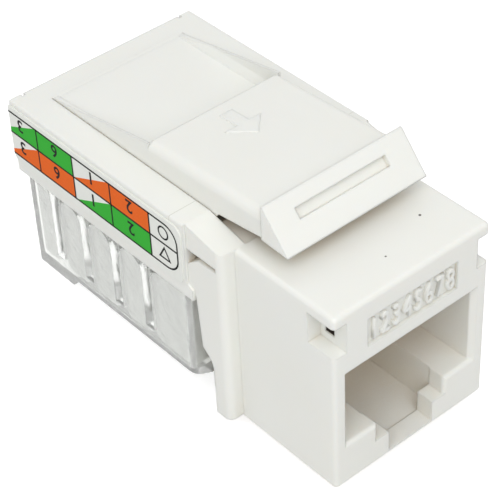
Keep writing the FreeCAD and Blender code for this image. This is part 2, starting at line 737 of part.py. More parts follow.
def build_contact_carrier():
    body = new_body("contact_carrier")
    half = dim.port_width / 2 + dim.channel_ledge - dim.carrier_play
    pad(body, "plate", "Y", dim.carrier_front, dim.carrier_rear,
        rectangle(-half, half, port_roof, carrier_top))
    half_comb = dim.port_width / 2 - dim.seat_gap
    comb_rear = dim.tip_reach + dim.comb_web + dim.wire_play
    comb_front = comb_rear - dim.comb_depth
    pad(body, "comb", "Y", comb_front, comb_rear,
        rectangle(-half_comb, half_comb, port_roof - dim.comb_drop, port_roof))

    groove = dim.wire_width + dim.wire_play * 2
    first = way_offset(0)
    low, high = first - groove / 2, first + groove / 2
    bottom = wire_level - dim.wire_thickness / 2 - dim.wire_play
    nose = dim.bend_front + dim.bend_radius * 2
    cuts = [
        ("groove", dim.carrier_front, dim.pin_row_front + dim.pin_row_step + dim.foot_radius,
         bottom, carrier_top),
        ("nose_slot", dim.carrier_front, nose, port_roof, carrier_top),
        ("comb_slot", comb_front, comb_rear - dim.comb_web, port_roof - dim.comb_drop, port_roof),
    ]
    for name, front, rear, under, top in cuts:
        cut = pocket(body, name, "Y", front, rear, rectangle(low, high, under, top))
        repeat(body, f"{name}s", cut, "H_Axis", dim.way_pitch, PORT_WAYS)
    return body


def build_jack_contact(index):
    """One bent wire: up through the board, forward over the carrier, round and back into the port."""
    body = new_body(f"jack_contact_{index + 1}")
    middle = way_offset(index)
    pin_y = pin_station(index)
    path = new_sketch(body, "path", "X", middle)

    bend_y = dim.bend_front + dim.bend_radius
    bend_z = wire_level - dim.bend_radius
    tip_y, tip_z = dim.tip_reach, port_roof - dim.tip_drop
    foot_y, foot_z = pin_y - dim.foot_radius, wire_level + dim.foot_radius
    run = number(tip_y) - number(bend_y)
    fall = number(bend_z) - number(dim.bend_radius) - number(tip_z)
    lean = math.atan2(fall, run)
    radius, foot = number(dim.bend_radius), number(dim.foot_radius)

    def at(y, z):
        return FreeCAD.Vector(number(y), number(z), 0)

    leave = at(number(bend_y) - radius * math.sin(lean), number(bend_z) - radius * math.cos(lean))
    up = FreeCAD.Vector(0, 0, 1)
    path.addGeometry(Part.LineSegment(at(pin_y, pin_top), at(pin_y, foot_z)))
    foot_arc = Part.Circle(at(foot_y, foot_z), up, foot)
    path.addGeometry(Part.ArcOfCircle(foot_arc, -math.pi / 2, 0))
    path.addGeometry(Part.LineSegment(at(foot_y, wire_level), at(bend_y, wire_level)))
    bend_arc = Part.Circle(at(bend_y, bend_z), up, radius)
    path.addGeometry(Part.ArcOfCircle(bend_arc, math.pi / 2, math.pi * 1.5 - lean))
    path.addGeometry(Part.LineSegment(leave, at(tip_y, tip_z)))

    for first, first_end, second, second_end in ((0, 2, 1, 2), (1, 1, 2, 1), (2, 2, 3, 1), (3, 2, 4, 1)):
        path.addConstraint(Sketcher.Constraint("Tangent", first, first_end, second, second_end))
    pin_point(path, 0, 1, (pin_y, pin_top))
    pin_point(path, 1, 3, (foot_y, foot_z))
    pin_point(path, 3, 3, (bend_y, bend_z))
    pin_point(path, 4, 2, (tip_y, tip_z))
    for arc, size in ((1, dim.foot_radius), (3, dim.bend_radius)):
        bind(path, path.addConstraint(Sketcher.Constraint("Radius", arc, number(size))), formula(size))

    half_width, half_thick = dim.wire_width / 2, dim.wire_thickness / 2
    section = new_sketch(body, "section", "Z", pin_top)
    draw_polygon(section, rectangle(middle - half_width, middle + half_width,
                                    pin_y - half_thick, pin_y + half_thick))
    wire = body.newObject("PartDesign::AdditivePipe", f"{body.Name}_wire")
    wire.Profile = section
    wire.Spine = (path, [""])
    return body


def build_circuit_board():
    body = new_body("circuit_board")
    half = body_half - dim.shell_wall - dim.board_play
    front = dim.body_front + dim.board_play * 2
    rear = dim.body_rear - dim.shell_wall - dim.board_play
    pad(body, "board", "Z", carrier_top, board_top, rectangle(-half, half, front, rear))
    wire_holes = [((way_offset(index), pin_station(index)), dim.wire_hole_diameter)
                  for index in range(PORT_WAYS)]
    blade_holes = [((blade_offset * side, slot_station(index)), dim.blade_hole_diameter)
                   for side in (LEFT, RIGHT) for index in range(SLOTS_PER_SIDE)]
    pocket(body, "holes", "Z", carrier_top, board_top, circles=wire_holes + blade_holes)
    return body


# ---------------------------------------------------------------- terminal block and blades

def build_idc_block():
    body = new_body("idc_block")
    seat_half = body_half - dim.shell_wall - dim.seat_gap
    seat_front = dim.body_front + dim.seat_gap
    seat_rear = dim.body_rear - dim.shell_wall - dim.seat_gap
    seat_under = body_under + dim.seat_sink
    tail_room = port_roof - dim.seat_gap
    # The seat stands inside the body; its front is lower, to clear the carrier's tail.
    pad(body, "seat", "X", -seat_half, seat_half, [
        (seat_front, seat_under), (seat_rear, seat_under), (seat_rear, carrier_top),
        (dim.carrier_rear + dim.seat_gap, carrier_top), (dim.carrier_rear + dim.seat_gap, tail_room),
        (seat_front, tail_room)])
    half = deck_half
    pad(body, "deck", "Z", deck_under, seat_under, rectangle(-half, half, deck_front, deck_rear))
    row = pad(body, "towers", "Z", tower_tip, deck_under,
              rectangle(-half, -tower_inner, deck_front, deck_rear))
    mirror(body, "tower_rows", [row])

    # Wire slots run across both rows, each with a lead-in at its mouth.
    station = slot_station(0)
    width, lead = dim.slot_width / 2, dim.slot_lead
    slot = pocket(body, "slot", "X", -half, half, [
        (station - width - lead, tower_tip), (station + width + lead, tower_tip),
        (station + width, tower_tip + lead), (station + width, deck_under),
        (station - width, deck_under), (station - width, tower_tip + lead)])
    repeat(body, "slots", slot, "H_Axis", dim.slot_pitch, SLOTS_PER_SIDE)

    # Each blade stands in a pocket across its slot, and its pin goes up through the deck.
    thick = dim.blade_thickness / 2 + dim.blade_play
    wide = dim.blade_width / 2 + dim.blade_play
    pin = dim.blade_pin_width / 2 + dim.blade_play
    for side, name in ((LEFT, "left"), (RIGHT, "right")):
        middle = blade_offset * side
        fork = pocket(body, f"{name}_pocket", "Z", tower_tip, deck_under,
                      rectangle(middle - thick, middle + thick, station - wide, station + wide))
        repeat(body, f"{name}_pockets", fork, "V_Axis", dim.slot_pitch, SLOTS_PER_SIDE)
        hole = pocket(body, f"{name}_pin_hole", "Z", deck_under, carrier_top,
                      rectangle(middle - thick, middle + thick, station - pin, station + pin))
        repeat(body, f"{name}_pin_holes", hole, "V_Axis", dim.slot_pitch, SLOTS_PER_SIDE)
    return body


def build_idc_contact(index):
    """A forked blade: its slit cuts the wire's jacket, and its pin is soldered to the board."""
    body = new_body(f"idc_contact_{index + 1}")
    side = LEFT if index < SLOTS_PER_SIDE else RIGHT
    station = slot_station(index % SLOTS_PER_SIDE)
    middle = blade_offset * side
    wide, pin, slit = dim.blade_width / 2, dim.blade_pin_width / 2, dim.blade_slit / 2
    top = deck_under - dim.blade_play
    root = blade_tip + dim.blade_slit_depth
    lead = dim.slot_lead
    half = dim.blade_thickness / 2
    pad(body, "fork", "X", middle - half, middle + half, [
        (station - wide, blade_tip + lead), (station - wide + lead, blade_tip),
        (station - slit - lead, blade_tip), (station - slit, blade_tip + lead * 2),
        (station - slit, root), (station + slit, root),
        (station + slit, blade_tip + lead * 2), (station + slit + lead, blade_tip),
        (station + wide - lead, blade_tip), (station + wide, blade_tip + lead),
        (station + wide, top), (station + pin, top), (station + pin, pin_top),
        (station - pin, pin_top), (station - pin, top), (station - wide, top)])
    return body


# ---------------------------------------------------------------- clear cap

def build_wire_cap():
    body = new_body("wire_cap")
    half = cap_half
    pad(body, "shell", "Z", cap_under, cap_top, rectangle(-half, half, dim.cap_front, cap_rear))
    fillet(body, "corners", dim.cap_corner_radius, along_z)
    inner = half - dim.cap_wall
    pocket(body, "inside", "Z", cap_inside, cap_top,
           rectangle(-inner, inner, dim.cap_front + dim.cap_wall, cap_rear - dim.cap_wall))

    bevel = pocket(body, "bevel", "Y", dim.cap_front, cap_rear - dim.cap_lip_length, [
        (-half, cap_under), (-half + dim.cap_bevel_width, cap_under),
        (-half, cap_under + dim.cap_bevel_height)])
    mirror(body, "bevels", [bevel])

    # Between a full-height front and rear, the side walls are lower; their slots open upwards.
    station = slot_station(0)
    width = dim.cap_slot_width / 2
    first = station - width
    last = slot_station(SLOTS_PER_SIDE - 1) + width
    crest = cap_top - dim.cap_arch_drop
    pocket(body, "lowered", "X", -half, half,
           rectangle(dim.cap_front + dim.cap_shoulder, last, crest, cap_top))
    slot = pocket(body, "slot", "X", -half, half,
                  rectangle(first, station + width, cap_under + dim.cap_slot_sill, crest))
    repeat(body, "slots", slot, "H_Axis", dim.slot_pitch, SLOTS_PER_SIDE)

    def arch_corner(start, end):
        arch = near(start.z, crest) and number(first) - TOUCH < start.y
        rear = near(start.z, cap_top) and near(start.y, last)
        return along_x(start, end) and (arch or rear)
    arch_radius = (dim.slot_pitch - dim.cap_slot_width - dim.cap_arch_flat) / 2
    fillet(body, "arches", arch_radius, arch_corner)

    # Ribs on the floor press the wires into the slots.
    inner = tower_inner + dim.rib_inset
    outer = deck_half - dim.rib_inset
    rib = dim.rib_thickness / 2
    left = pad(body, "rib", "Z", cap_inside, cap_inside + dim.rib_height,
               rectangle(-outer, -inner, station - rib, station + rib))
    repeat(body, "left_ribs", left, "V_Axis", dim.slot_pitch, SLOTS_PER_SIDE)
    right = pad(body, "right_rib", "Z", cap_inside, cap_inside + dim.rib_height,
                rectangle(inner, outer, station - rib, station + rib))
    repeat(body, "right_ribs", right, "V_Axis", dim.slot_pitch, SLOTS_PER_SIDE)
    return body


# ---------------------------------------------------------------- wiring labels

def build_wiring_label(name, side):
    body = new_body(name)
    wall = body_half
    outside = wall + dim.label_thickness
    low, high = (-outside, -wall) if side == LEFT else (wall, outside)
    rear = dim.body_rear
    top = body_top - dim.label_top_gap
    pad(body, "sheet", "X", low, high,
        rectangle(dim.body_front + dim.label_margin, rear, top - dim.label_height, top))

    def corner(start, end):
        upper_rear = near(start.y, rear) and near(start.z, top)
        return along_x(start, end) and not upper_rear
    fillet(body, "corners", dim.label_radius, corner)
    return body


# ---------------------------------------------------------------- assembly and export

def build_all():
    pieces = [build_housing(), build_latch_arm(), build_contact_carrier()]
    pieces += [build_jack_contact(index) for index in range(PORT_WAYS)]
    pieces += [build_circuit_board(), build_idc_block()]
    pieces += [build_idc_contact(index) for index in range(SLOTS_PER_SIDE * 2)]
    pieces += [build_wire_cap()]
    pieces += [build_wiring_label("wiring_label_left", LEFT), build_wiring_label("wiring_label_right", RIGHT)]
    return pieces


def check_features():
    """Stops on a failed object and on a cut that removes nothing."""
    for item in doc.Objects:
        if {"Invalid", "Error"} & set(item.State):
            raise RuntimeError(f"{item.Name} failed: {item.State}")
        if item.TypeId == "PartDesign::Pocket":
            if item.BaseFeature.Shape.Volume - item.Shape.Volume < 1e-6:
                raise RuntimeError(f"{item.Name} cuts nothing")


def export(pieces):
    for piece in pieces:
        shape = piece.Shape
        if shape.isNull() or not shape.isValid():
            raise RuntimeError(f"{piece.Label} has no valid shape")
    os.makedirs("parts", exist_ok=True)
    for piece in pieces:
        piece.Shape.exportStep(f"parts/{piece.Label}.step")
        box = piece.Shape.BoundBox
        print(f"{piece.Label}: {len(piece.Shape.Solids)} solid, {piece.Shape.Volume:.2f} mm3, "
              f"x {box.XMin:.2f} {box.XMax:.2f}, y {box.YMin:.2f} {box.YMax:.2f}, "
              f"z {box.ZMin:.2f} {box.ZMax:.2f}")


all_pieces = build_all()
doc.recompute()
check_features()
export(all_pieces)
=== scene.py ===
"""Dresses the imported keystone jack: moulded finishes, printed labels, markings and studio."""

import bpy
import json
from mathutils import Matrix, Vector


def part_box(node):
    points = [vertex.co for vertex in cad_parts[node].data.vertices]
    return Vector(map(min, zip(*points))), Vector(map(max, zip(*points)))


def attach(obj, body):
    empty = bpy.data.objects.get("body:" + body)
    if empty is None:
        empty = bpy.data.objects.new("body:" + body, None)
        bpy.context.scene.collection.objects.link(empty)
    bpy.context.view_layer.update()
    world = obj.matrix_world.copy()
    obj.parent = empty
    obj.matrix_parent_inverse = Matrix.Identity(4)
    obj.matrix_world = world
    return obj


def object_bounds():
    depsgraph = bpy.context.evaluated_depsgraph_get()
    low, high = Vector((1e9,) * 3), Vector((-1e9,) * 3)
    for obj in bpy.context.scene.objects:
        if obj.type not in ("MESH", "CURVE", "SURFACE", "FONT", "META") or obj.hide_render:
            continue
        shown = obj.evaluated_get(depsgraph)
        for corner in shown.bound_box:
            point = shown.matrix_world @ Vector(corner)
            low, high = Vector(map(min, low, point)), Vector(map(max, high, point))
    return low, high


bl_info = {
    "name": "Keystone Jack",
    "version": (1, 0, 0),
    "blender": (4, 5, 0),
    "location": "View3D > Sidebar > Keystone Jack",
    "description": "Finishes, markings and studio for a snap-in modular jack",
    "category": "Object",
}

import json
import math

import bmesh
import bpy
from mathutils import Matrix, Vector

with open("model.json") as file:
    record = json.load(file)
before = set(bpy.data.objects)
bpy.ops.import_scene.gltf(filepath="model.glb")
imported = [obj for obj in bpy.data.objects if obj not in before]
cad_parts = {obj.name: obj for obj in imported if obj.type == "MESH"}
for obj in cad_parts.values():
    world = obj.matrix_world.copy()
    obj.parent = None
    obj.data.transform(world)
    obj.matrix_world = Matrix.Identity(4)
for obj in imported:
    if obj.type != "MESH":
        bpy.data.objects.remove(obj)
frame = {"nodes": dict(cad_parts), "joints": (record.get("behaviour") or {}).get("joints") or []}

MM = 0.001
CAD_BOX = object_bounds()
WAYS = range(1, 9)

# Points nearer to each other than this count as one.
TOUCHING = 1e-4 * MM

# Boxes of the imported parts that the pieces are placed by, in metres.
LABEL_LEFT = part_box("wiring_label_left")
LABEL_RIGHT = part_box("wiring_label_right")
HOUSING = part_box("housing")
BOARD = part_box("circuit_board")
CONTACTS = [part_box(f"jack_contact_{way}") for way in WAYS]
BLADES = [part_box(f"idc_contact_{way}") for way in WAYS]


# ---------------------------------------------------------------- colours and node helpers

def linear(hex_colour):
    """Turns an sRGB hex colour into the linear colour that Blender's sockets hold."""
    levels = [int(hex_colour[start:start + 2], 16) / 255 for start in (1, 3, 5)]
    mixed = [level / 12.92 if level <= 0.04045 else ((level + 0.055) / 1.055) ** 2.4
             for level in levels]
    return (*mixed, 1.0)


def add_node(tree, kind, values=None, links=None, **settings):
    """Adds a node, sets its options and values, and links its inputs to other nodes' outputs."""
    node = tree.nodes.new(kind)
    for name, value in settings.items():
        setattr(node, name, value)
    for socket, value in (values or {}).items():
        node.inputs[socket].default_value = value
    for socket, source in (links or {}).items():
        tree.links.new(source, node.inputs[socket])
    return node


def joined(tree, masks, operation):
    """Joins masks into one: MULTIPLY keeps where all of them are on, MAXIMUM where any is."""
    result = masks[0]
    for mask in masks[1:]:
        result = add_node(tree, "ShaderNodeMath", {}, {0: result, 1: mask},
                          operation=operation).outputs[0]
    return result


def start_material(name, **values):
    """A new material with its shader's plain values set; returns the material, tree and shader."""
    material = bpy.data.materials.new(name)
    material.use_nodes = True
    tree = material.node_tree
    shader = tree.nodes["Principled BSDF"]
    for socket, value in values.items():
        shader.inputs[socket.replace("_", " ")].default_value = value
    return material, tree, shader


def per_metre(millimetres):
    """Texture scale for a feature of this many millimetres."""
    return 1 / (millimetres * MM)


# ---------------------------------------------------------------- user settings

def colour_property(name, description, hex_colour):
    """A setting for a colour, which is given as sRGB hex."""
    return bpy.props.FloatVectorProperty(
        name=name, description=description, subtype="COLOR", size=4, min=0, max=1,
        default=linear(hex_colour))


def length_property(name, description, millimetres):
    """A setting for a length, which is given in millimetres."""
    return bpy.props.FloatProperty(
        name=name, description=description, unit="LENGTH", precision=5, default=millimetres * MM)


class JackFinish(bpy.types.PropertyGroup):
    """Colours of the jack's plastics, metals, board and print."""
    housing: colour_property("Housing", "Warm white ABS of the housing and latch", "#EEEFEB")
    housing_deep: colour_property(
        "Housing shade", "Slightly yellower drift in the same ABS", "#EBEBE4")
    carrier: colour_property("Carrier", "Natural PBT of the contact carrier", "#E4E3DC")
    tower: colour_property("Towers", "White polycarbonate of the terminal block", "#DEE0DD")
    cap: colour_property("Cap", "Clear polycarbonate of the wire cap", "#FBFCFA")
    gold: colour_property("Gold", "Gold plating of the port contacts", "#DDAA4F")
    tin: colour_property("Tin", "Tin plating of the terminal blades", "#C6C4BE")
    solder_mask: colour_property("Board", "Green lacquer of the circuit board", "#1E6B43")
    film: colour_property("Label", "White label film", "#EDEFEA")
    ink: colour_property("Ink", "Black print of the labels", "#121212")
    green: colour_property("Green pair", "Green print of the labels", "#36B336")
    orange: colour_property("Orange pair", "Orange print of the labels", "#EE6A20")
    blue: colour_property("Blue pair", "Blue print of the labels", "#2F66B5")
    brown: colour_property("Brown pair", "Brown print of the labels", "#84512F")


class JackMarks(bpy.types.PropertyGroup):
    """Sizes of the raised and printed marks."""
    numeral_height: length_property("Numeral height", "Raised way numbers above the port", 1.75)
    numeral_relief: length_property("Numeral relief", "Height of the raised way numbers", 0.22)
    mark_root: length_property("Mark root", "Raised marks run on under the surface", 0.6)
    way_pitch: length_property("Way pitch", "Spacing of the raised way numbers", 1.016)
    panel_floor: length_property(
        "Panel floor", "Marking panel's floor behind the front face", 0.3)
    panel_middle: length_property(
        "Panel middle", "Marking panel's middle above the port's middle", 5.75)
    arrow_width: length_property("Arrow width", "Raised arrow on the latch, across", 3.4)
    arrow_length: length_property("Arrow length", "Raised arrow on the latch, along", 3.6)
    arrow_relief: length_property("Arrow relief", "Height of the raised arrow", 0.09)
    arrow_station: length_property(
        "Arrow station", "Arrow's middle behind the front face", 17.1)
    skin_width: length_property("Skin width", "Skin over the latch's root, across", 12.36)
    skin_length: length_property("Skin length", "Skin over the latch's root, along", 0.3)
    skin_depth: length_property(
        "Skin depth", "Thickness of the skin over the latch's root", 0.03)
    print_relief: length_property("Print relief", "Thickness of one layer of print", 0.006)
    line_width: length_property("Line width", "Printed lines of the label", 0.15)
    digit_height: length_property("Digit height", "Printed pin numbers of the label", 1.1)
    digit_weight: length_property(
        "Digit weight", "Thickening of the printed pin numbers", 0.025)


class JackStage(bpy.types.PropertyGroup):
    """Camera and lamps of the studio."""
    camera_place: bpy.props.FloatVectorProperty(
        name="Camera place", description="Where the camera stands", subtype="TRANSLATION",
        size=3, default=(-64.57 * MM, -62.56 * MM, 86.61 * MM))
    camera_aim: bpy.props.FloatVectorProperty(
        name="Camera aim", description="Point at the middle of the view", subtype="TRANSLATION",
        size=3, default=(-3.24 * MM, 13.0 * MM, 4.36 * MM))
    camera_roll: bpy.props.FloatProperty(
        name="Camera roll", description="Turn of the camera about its view", subtype="ANGLE",
        default=math.radians(-2.99))
    lens: bpy.props.FloatProperty(
        name="Lens", description="Focal length in millimetres", default=130.1)
    sky: bpy.props.FloatProperty(
        name="Sky", description="Even light from all round", default=0.545)
    key: bpy.props.FloatProperty(
        name="Key lamp", description="Power of the large lamp over the near corner, in watts",
        default=0.66)
    fill: bpy.props.FloatProperty(
        name="Fill lamp", description="Power of the weak lamp over the far corner, in watts",
        default=0.06)


GROUPS = (("jack_finish", JackFinish), ("jack_marks", JackMarks), ("jack_stage", JackStage))


# ---------------------------------------------------------------- shared looks

def clouded(tree, shader, place, millimetres, detail, low, high):
    """Colours a surface in two tones that cloud into each other; returns the clouds."""
    cloud = add_node(tree, "ShaderNodeTexNoise",
                     {"Scale": per_metre(millimetres), "Detail": detail},
                     {"Vector": place}).outputs["Fac"]
    ramp = add_node(tree, "ShaderNodeValToRGB", links={"Fac": cloud})
    ramp.color_ramp.elements[0].color = low
    ramp.color_ramp.elements[1].color = high
    tree.links.new(ramp.outputs["Color"], shader.inputs["Base Color"])
    return cloud


def uneven_gloss(tree, shader, pattern, smoothest, roughest):
    """Lets a pattern carry a surface's roughness from one value to another."""
    gloss = add_node(tree, "ShaderNodeMapRange", {"To Min": smoothest, "To Max": roughest},
                     {"Value": pattern})
    tree.links.new(gloss.outputs["Result"], shader.inputs["Roughness"])


def relief(tree, shader, pattern, strength, height, edge_radius=0):
    """Raises a pattern, and rounds moulded edges, which a tool never leaves quite sharp."""
    normal = add_node(tree, "ShaderNodeBump", {"Strength": strength, "Distance": height},
                      {"Height": pattern}).outputs["Normal"]
    if edge_radius:
        normal = add_node(tree, "ShaderNodeBevel", {"Radius": edge_radius}, {"Normal": normal},
                          samples=4).outputs["Normal"]
    tree.links.new(normal, shader.inputs["Normal"])


def background_rays(tree):
    """Light paths, and a mask of the rays that see the background: direct, mirrored or in glass."""
    paths = add_node(tree, "ShaderNodeLightPath").outputs
    kinds = ("Is Camera Ray", "Is Glossy Ray", "Is Transmission Ray")
    return paths, joined(tree, [paths[kind] for kind in kinds], "MAXIMUM")


# ---------------------------------------------------------------- housing's plastic

# Witness line of the tool: its station behind the face and half its width, and how far from the
# middle plane and above the port's middle it starts.
WITNESS_STATION, WITNESS_HALF_WIDTH = 14.85 * MM, 0.03 * MM
WITNESS_SIDE, WITNESS_LEVEL = 6.4 * MM, 9.0 * MM

# Painted shade in recesses: how far it looks for walls; how open a place is where it starts and
# where it is full, as a share of open surface; and how much a full shade covers.
SHADE_REACH = 12 * MM
SHADE_STARTS, SHADE_FULL, SHADE_COVER = 0.32, 0.06, 0.95

# Scattered specks: their spacing in millimetres, and their radius as a share of it.
SPECK_SPACING, SPECK_RADIUS = 4.1, 0.013

# Scorched specks on the front block's top: place and radius.
SCORCH_SPOTS = (((4.3 * MM, 3.8 * MM, 8.7 * MM), 0.1 * MM),
                ((-0.4 * MM, 2.3 * MM, 8.7 * MM), 0.07 * MM))

# Painted shade in each corner notch's coring hole: its middle and half its extent along each axis.
CORING_HOLE = ((5.0 * MM, 1.0 * MM), (1.65 * MM, 0.47 * MM), (6.22 * MM, 0.47 * MM))

# Tones that lie over the plastic's own colour; the second, and the third in the coring holes,
# are painted shade.
WITNESS_TONE, RECESS_SHADE_TONE, SPECK_AND_SHADE_TONE = "#D3D3CA", "#DDD2C1", "#453C36"


def pigment_drift(tree, place, finish):
    """Pigment drifts along the flow of the melt, over about 9 mm: the drift and its colour."""
    drift = add_node(tree, "ShaderNodeTexNoise", {"Scale": per_metre(9), "Detail": 3},
                     {"Vector": place}).outputs["Fac"]
    blend = add_node(tree, "ShaderNodeMix", {6: finish.housing, 7: finish.housing_deep},
                     {"Factor": drift}, data_type="RGBA")
    return drift, blend.outputs[2]


def witness_line(tree, across, along, up):
    """Parts of the tool meet near the latch's root and leave a fine line beside the latch."""
    seam = add_node(tree, "ShaderNodeMath", {1: WITNESS_STATION, 2: WITNESS_HALF_WIDTH},
                    {0: along}, operation="COMPARE")
    beside = add_node(tree, "ShaderNodeMath", {1: WITNESS_SIDE}, {0: across},
                      operation="GREATER_THAN")
    high = add_node(tree, "ShaderNodeMath", {1: WITNESS_LEVEL}, {0: up},
                    operation="GREATER_THAN")
    return joined(tree, [node.outputs[0] for node in (seam, beside, high)], "MULTIPLY")


def handling_film(tree):
    """Painted shade: a warm, darker tone in deep recesses, where walls are near all round."""
    shelter = add_node(tree, "ShaderNodeAmbientOcclusion", {"Distance": SHADE_REACH}, samples=6)
    film = add_node(tree, "ShaderNodeMapRange",
                    {"From Min": SHADE_STARTS, "From Max": SHADE_FULL, "To Max": SHADE_COVER},
                    {"Value": shelter.outputs["AO"]})
    return film.outputs["Result"]


def dark_spots(tree, place, across, along, up):
    """Scorched specks of pigment, and painted shade in the coring holes, from whose depth no
    light comes back.
    """
    cells = add_node(tree, "ShaderNodeTexVoronoi", {"Scale": per_metre(SPECK_SPACING)},
                     {"Vector": place})
    speck = add_node(tree, "ShaderNodeMath", {1: SPECK_RADIUS}, {0: cells.outputs["Distance"]},
                     operation="LESS_THAN")
    spots = [speck.outputs[0]]
    for spot, radius in SCORCH_SPOTS:
        away = add_node(tree, "ShaderNodeVectorMath", {1: spot}, {0: place}, operation="DISTANCE")
        near = add_node(tree, "ShaderNodeMath", {1: radius}, {0: away.outputs["Value"]},
                        operation="LESS_THAN")
        spots.append(near.outputs[0])
    hole_shade = []
    for distance, (middle, reach) in zip((across, along, up), CORING_HOLE):
        within = add_node(tree, "ShaderNodeMath", {1: middle, 2: reach}, {0: distance},
                          operation="COMPARE")
        hole_shade.append(within.outputs[0])
    return joined(tree, [*spots, joined(tree, hole_shade, "MULTIPLY")], "MAXIMUM")


def injection_moulded_abs(finish):
    """Satin ABS from a finely spark-eroded tool: warm white, a little translucent, uneven."""
    material, tree, shader = start_material(
        "injection_moulded_abs", IOR=1.53, Roughness=0.42, Subsurface_Weight=0.18,
        Subsurface_Radius=(1.1 * MM, 0.9 * MM, 0.7 * MM), Subsurface_Scale=1.0)
    place = add_node(tree, "ShaderNodeTexCoord").outputs["Object"]
    axes = add_node(tree, "ShaderNodeSeparateXYZ", links={"Vector": place}).outputs
    across = add_node(tree, "ShaderNodeMath", {}, {0: axes["X"]}, operation="ABSOLUTE").outputs[0]
    distances = (across, axes["Y"], axes["Z"])
    drift, colour = pigment_drift(tree, place, finish)
    # Each of these lies over the one before it: a witness line, painted shade in recesses, and
    # specks with painted shade in the coring holes.
    for mask, tone in ((witness_line(tree, *distances), WITNESS_TONE),
                       (handling_film(tree), RECESS_SHADE_TONE),
                       (dark_spots(tree, place, *distances), SPECK_AND_SHADE_TONE)):
        layer = add_node(tree, "ShaderNodeMix", {7: linear(tone)}, {"Factor": mask, 6: colour},
                         data_type="RGBA")
        colour = layer.outputs[2]
    tree.links.new(colour, shader.inputs["Base Color"])
    # Spark erosion leaves a grain of 0.05 mm; it is drawn at 0.16 mm so that it shows.
    grain = add_node(tree, "ShaderNodeTexNoise", {"Scale": per_metre(0.16), "Detail": 2},
                     {"Vector": place})
    relief(tree, shader, grain.outputs["Fac"], strength=0.35, height=0.012 * MM,
           edge_radius=0.18 * MM)
    uneven_gloss(tree, shader, drift, smoothest=0.36, roughest=0.5)
    return material


def thin_moulded_abs(finish):
    """The same ABS where it is a film over the bend: too thin to scatter light, and dead flat."""
    material, tree, shader = start_material("thin_moulded_abs", IOR=1.53, Roughness=0.42)
    place = add_node(tree, "ShaderNodeTexCoord").outputs["Object"]
    _, colour = pigment_drift(tree, place, finish)
    tree.links.new(colour, shader.inputs["Base Color"])
    return material


# ---------------------------------------------------------------- other materials

# Waves that a wave texture makes in a unit at a scale of 1.
WAVES_PER_UNIT = 20 / math.tau


def moulded_pbt(finish):
    """Natural PBT: harder and duller than the housing, with a dry, even surface."""
    material, tree, shader = start_material("moulded_pbt", IOR=1.55, Roughness=0.5)
    place = add_node(tree, "ShaderNodeTexCoord").outputs["Object"]
    # Mottle of the crystalline resin, about 1.5 mm across.
    mottle = clouded(tree, shader, place, millimetres=1.5, detail=4, low=linear("#DAD8CF"),
                     high=finish.carrier)
    relief(tree, shader, mottle, strength=0.25, height=0.01 * MM, edge_radius=0.06 * MM)
    return material


def moulded_white_polycarbonate(finish):
    """White polycarbonate from a polished tool: clean, bright and smooth, with a slight glow."""
    material, tree, shader = start_material(
        "moulded_white_polycarbonate", IOR=1.58, Roughness=0.3, Subsurface_Weight=0.25,
        Subsurface_Radius=(0.9 * MM, 0.9 * MM, 0.9 * MM), Subsurface_Scale=1.0)
    place = add_node(tree, "ShaderNodeTexCoord").outputs["Object"]
    # Sink over the thick towers shows as a slow change of tone, about 3 mm long.
    sink = clouded(tree, shader, place, millimetres=3, detail=2, low=linear("#D6D8D4"),
                   high=finish.tower)
    relief(tree, shader, sink, strength=0.2, height=0.02 * MM, edge_radius=0.08 * MM)
    return material


def clear_polycarbonate(finish):
    """Clear polycarbonate: water-clear, with soft moulded waves. Its thin walls mirror little, so
    its IOR is set under the plastic's own 1.58."""
    material, tree, shader = start_material(
        "clear_polycarbonate", IOR=1.45, Transmission_Weight=0.8, Base_Color=finish.cap,
        Roughness=0.2)
    place = add_node(tree, "ShaderNodeTexCoord").outputs["Object"]
    # Flow waves in the wall, about 1.5 mm long and under a tenth of a millimetre high.
    wave = add_node(tree, "ShaderNodeTexNoise", {"Scale": per_metre(1.5), "Detail": 2},
                    {"Vector": place})
    relief(tree, shader, wave.outputs["Fac"], strength=0.7, height=0.09 * MM,
           edge_radius=0.1 * MM)
    # Handling leaves a light haze that comes and goes over about 4 mm.
    haze = add_node(tree, "ShaderNodeTexNoise", {"Scale": per_metre(4), "Detail": 3},
                    {"Vector": place})
    uneven_gloss(tree, shader, haze.outputs["Fac"], smoothest=0.06, roughest=0.2)
    return material


def gold_plated_bronze(finish):
    """Drawn phosphor bronze wire with hard gold: yellow, bright, faintly lined along its length."""
    material, tree, shader = start_material(
        "gold_plated_bronze", Metallic=1.0, Base_Color=finish.gold, Roughness=0.2)
    place = add_node(tree, "ShaderNodeTexCoord").outputs["Object"]
    # Drawing lines lie 0.04 mm apart across the wire and run 2 mm along it.
    stretch = add_node(tree, "ShaderNodeMapping",
                       {"Scale": (per_metre(0.04), per_metre(2), per_metre(2))}, {"Vector": place})
    lines = add_node(tree, "ShaderNodeTexNoise", {"Scale": 1.0, "Detail": 2},
                     {"Vector": stretch.outputs["Vector"]}).outputs["Fac"]
    uneven_gloss(tree, shader, lines, smoothest=0.14, roughest=0.32)
    relief(tree, shader, lines, strength=0.2, height=0.003 * MM)
    return material


def tinned_bronze(finish):
    """Stamped phosphor bronze with matt tin: grey-white metal, cloudy, with rolling lines."""
    material, tree, shader = start_material(
        "tinned_bronze", Metallic=1.0, Base_Color=finish.tin, Roughness=0.35)
    place = add_node(tree, "ShaderNodeTexCoord").outputs["Object"]
    # Tin crystals cloud the surface over about 0.5 mm.
    cloud = clouded(tree, shader, place, millimetres=0.5, detail=4, low=linear("#ABA9A3"),
                    high=finish.tin)
    uneven_gloss(tree, shader, cloud, smoothest=0.25, roughest=0.45)
    return material


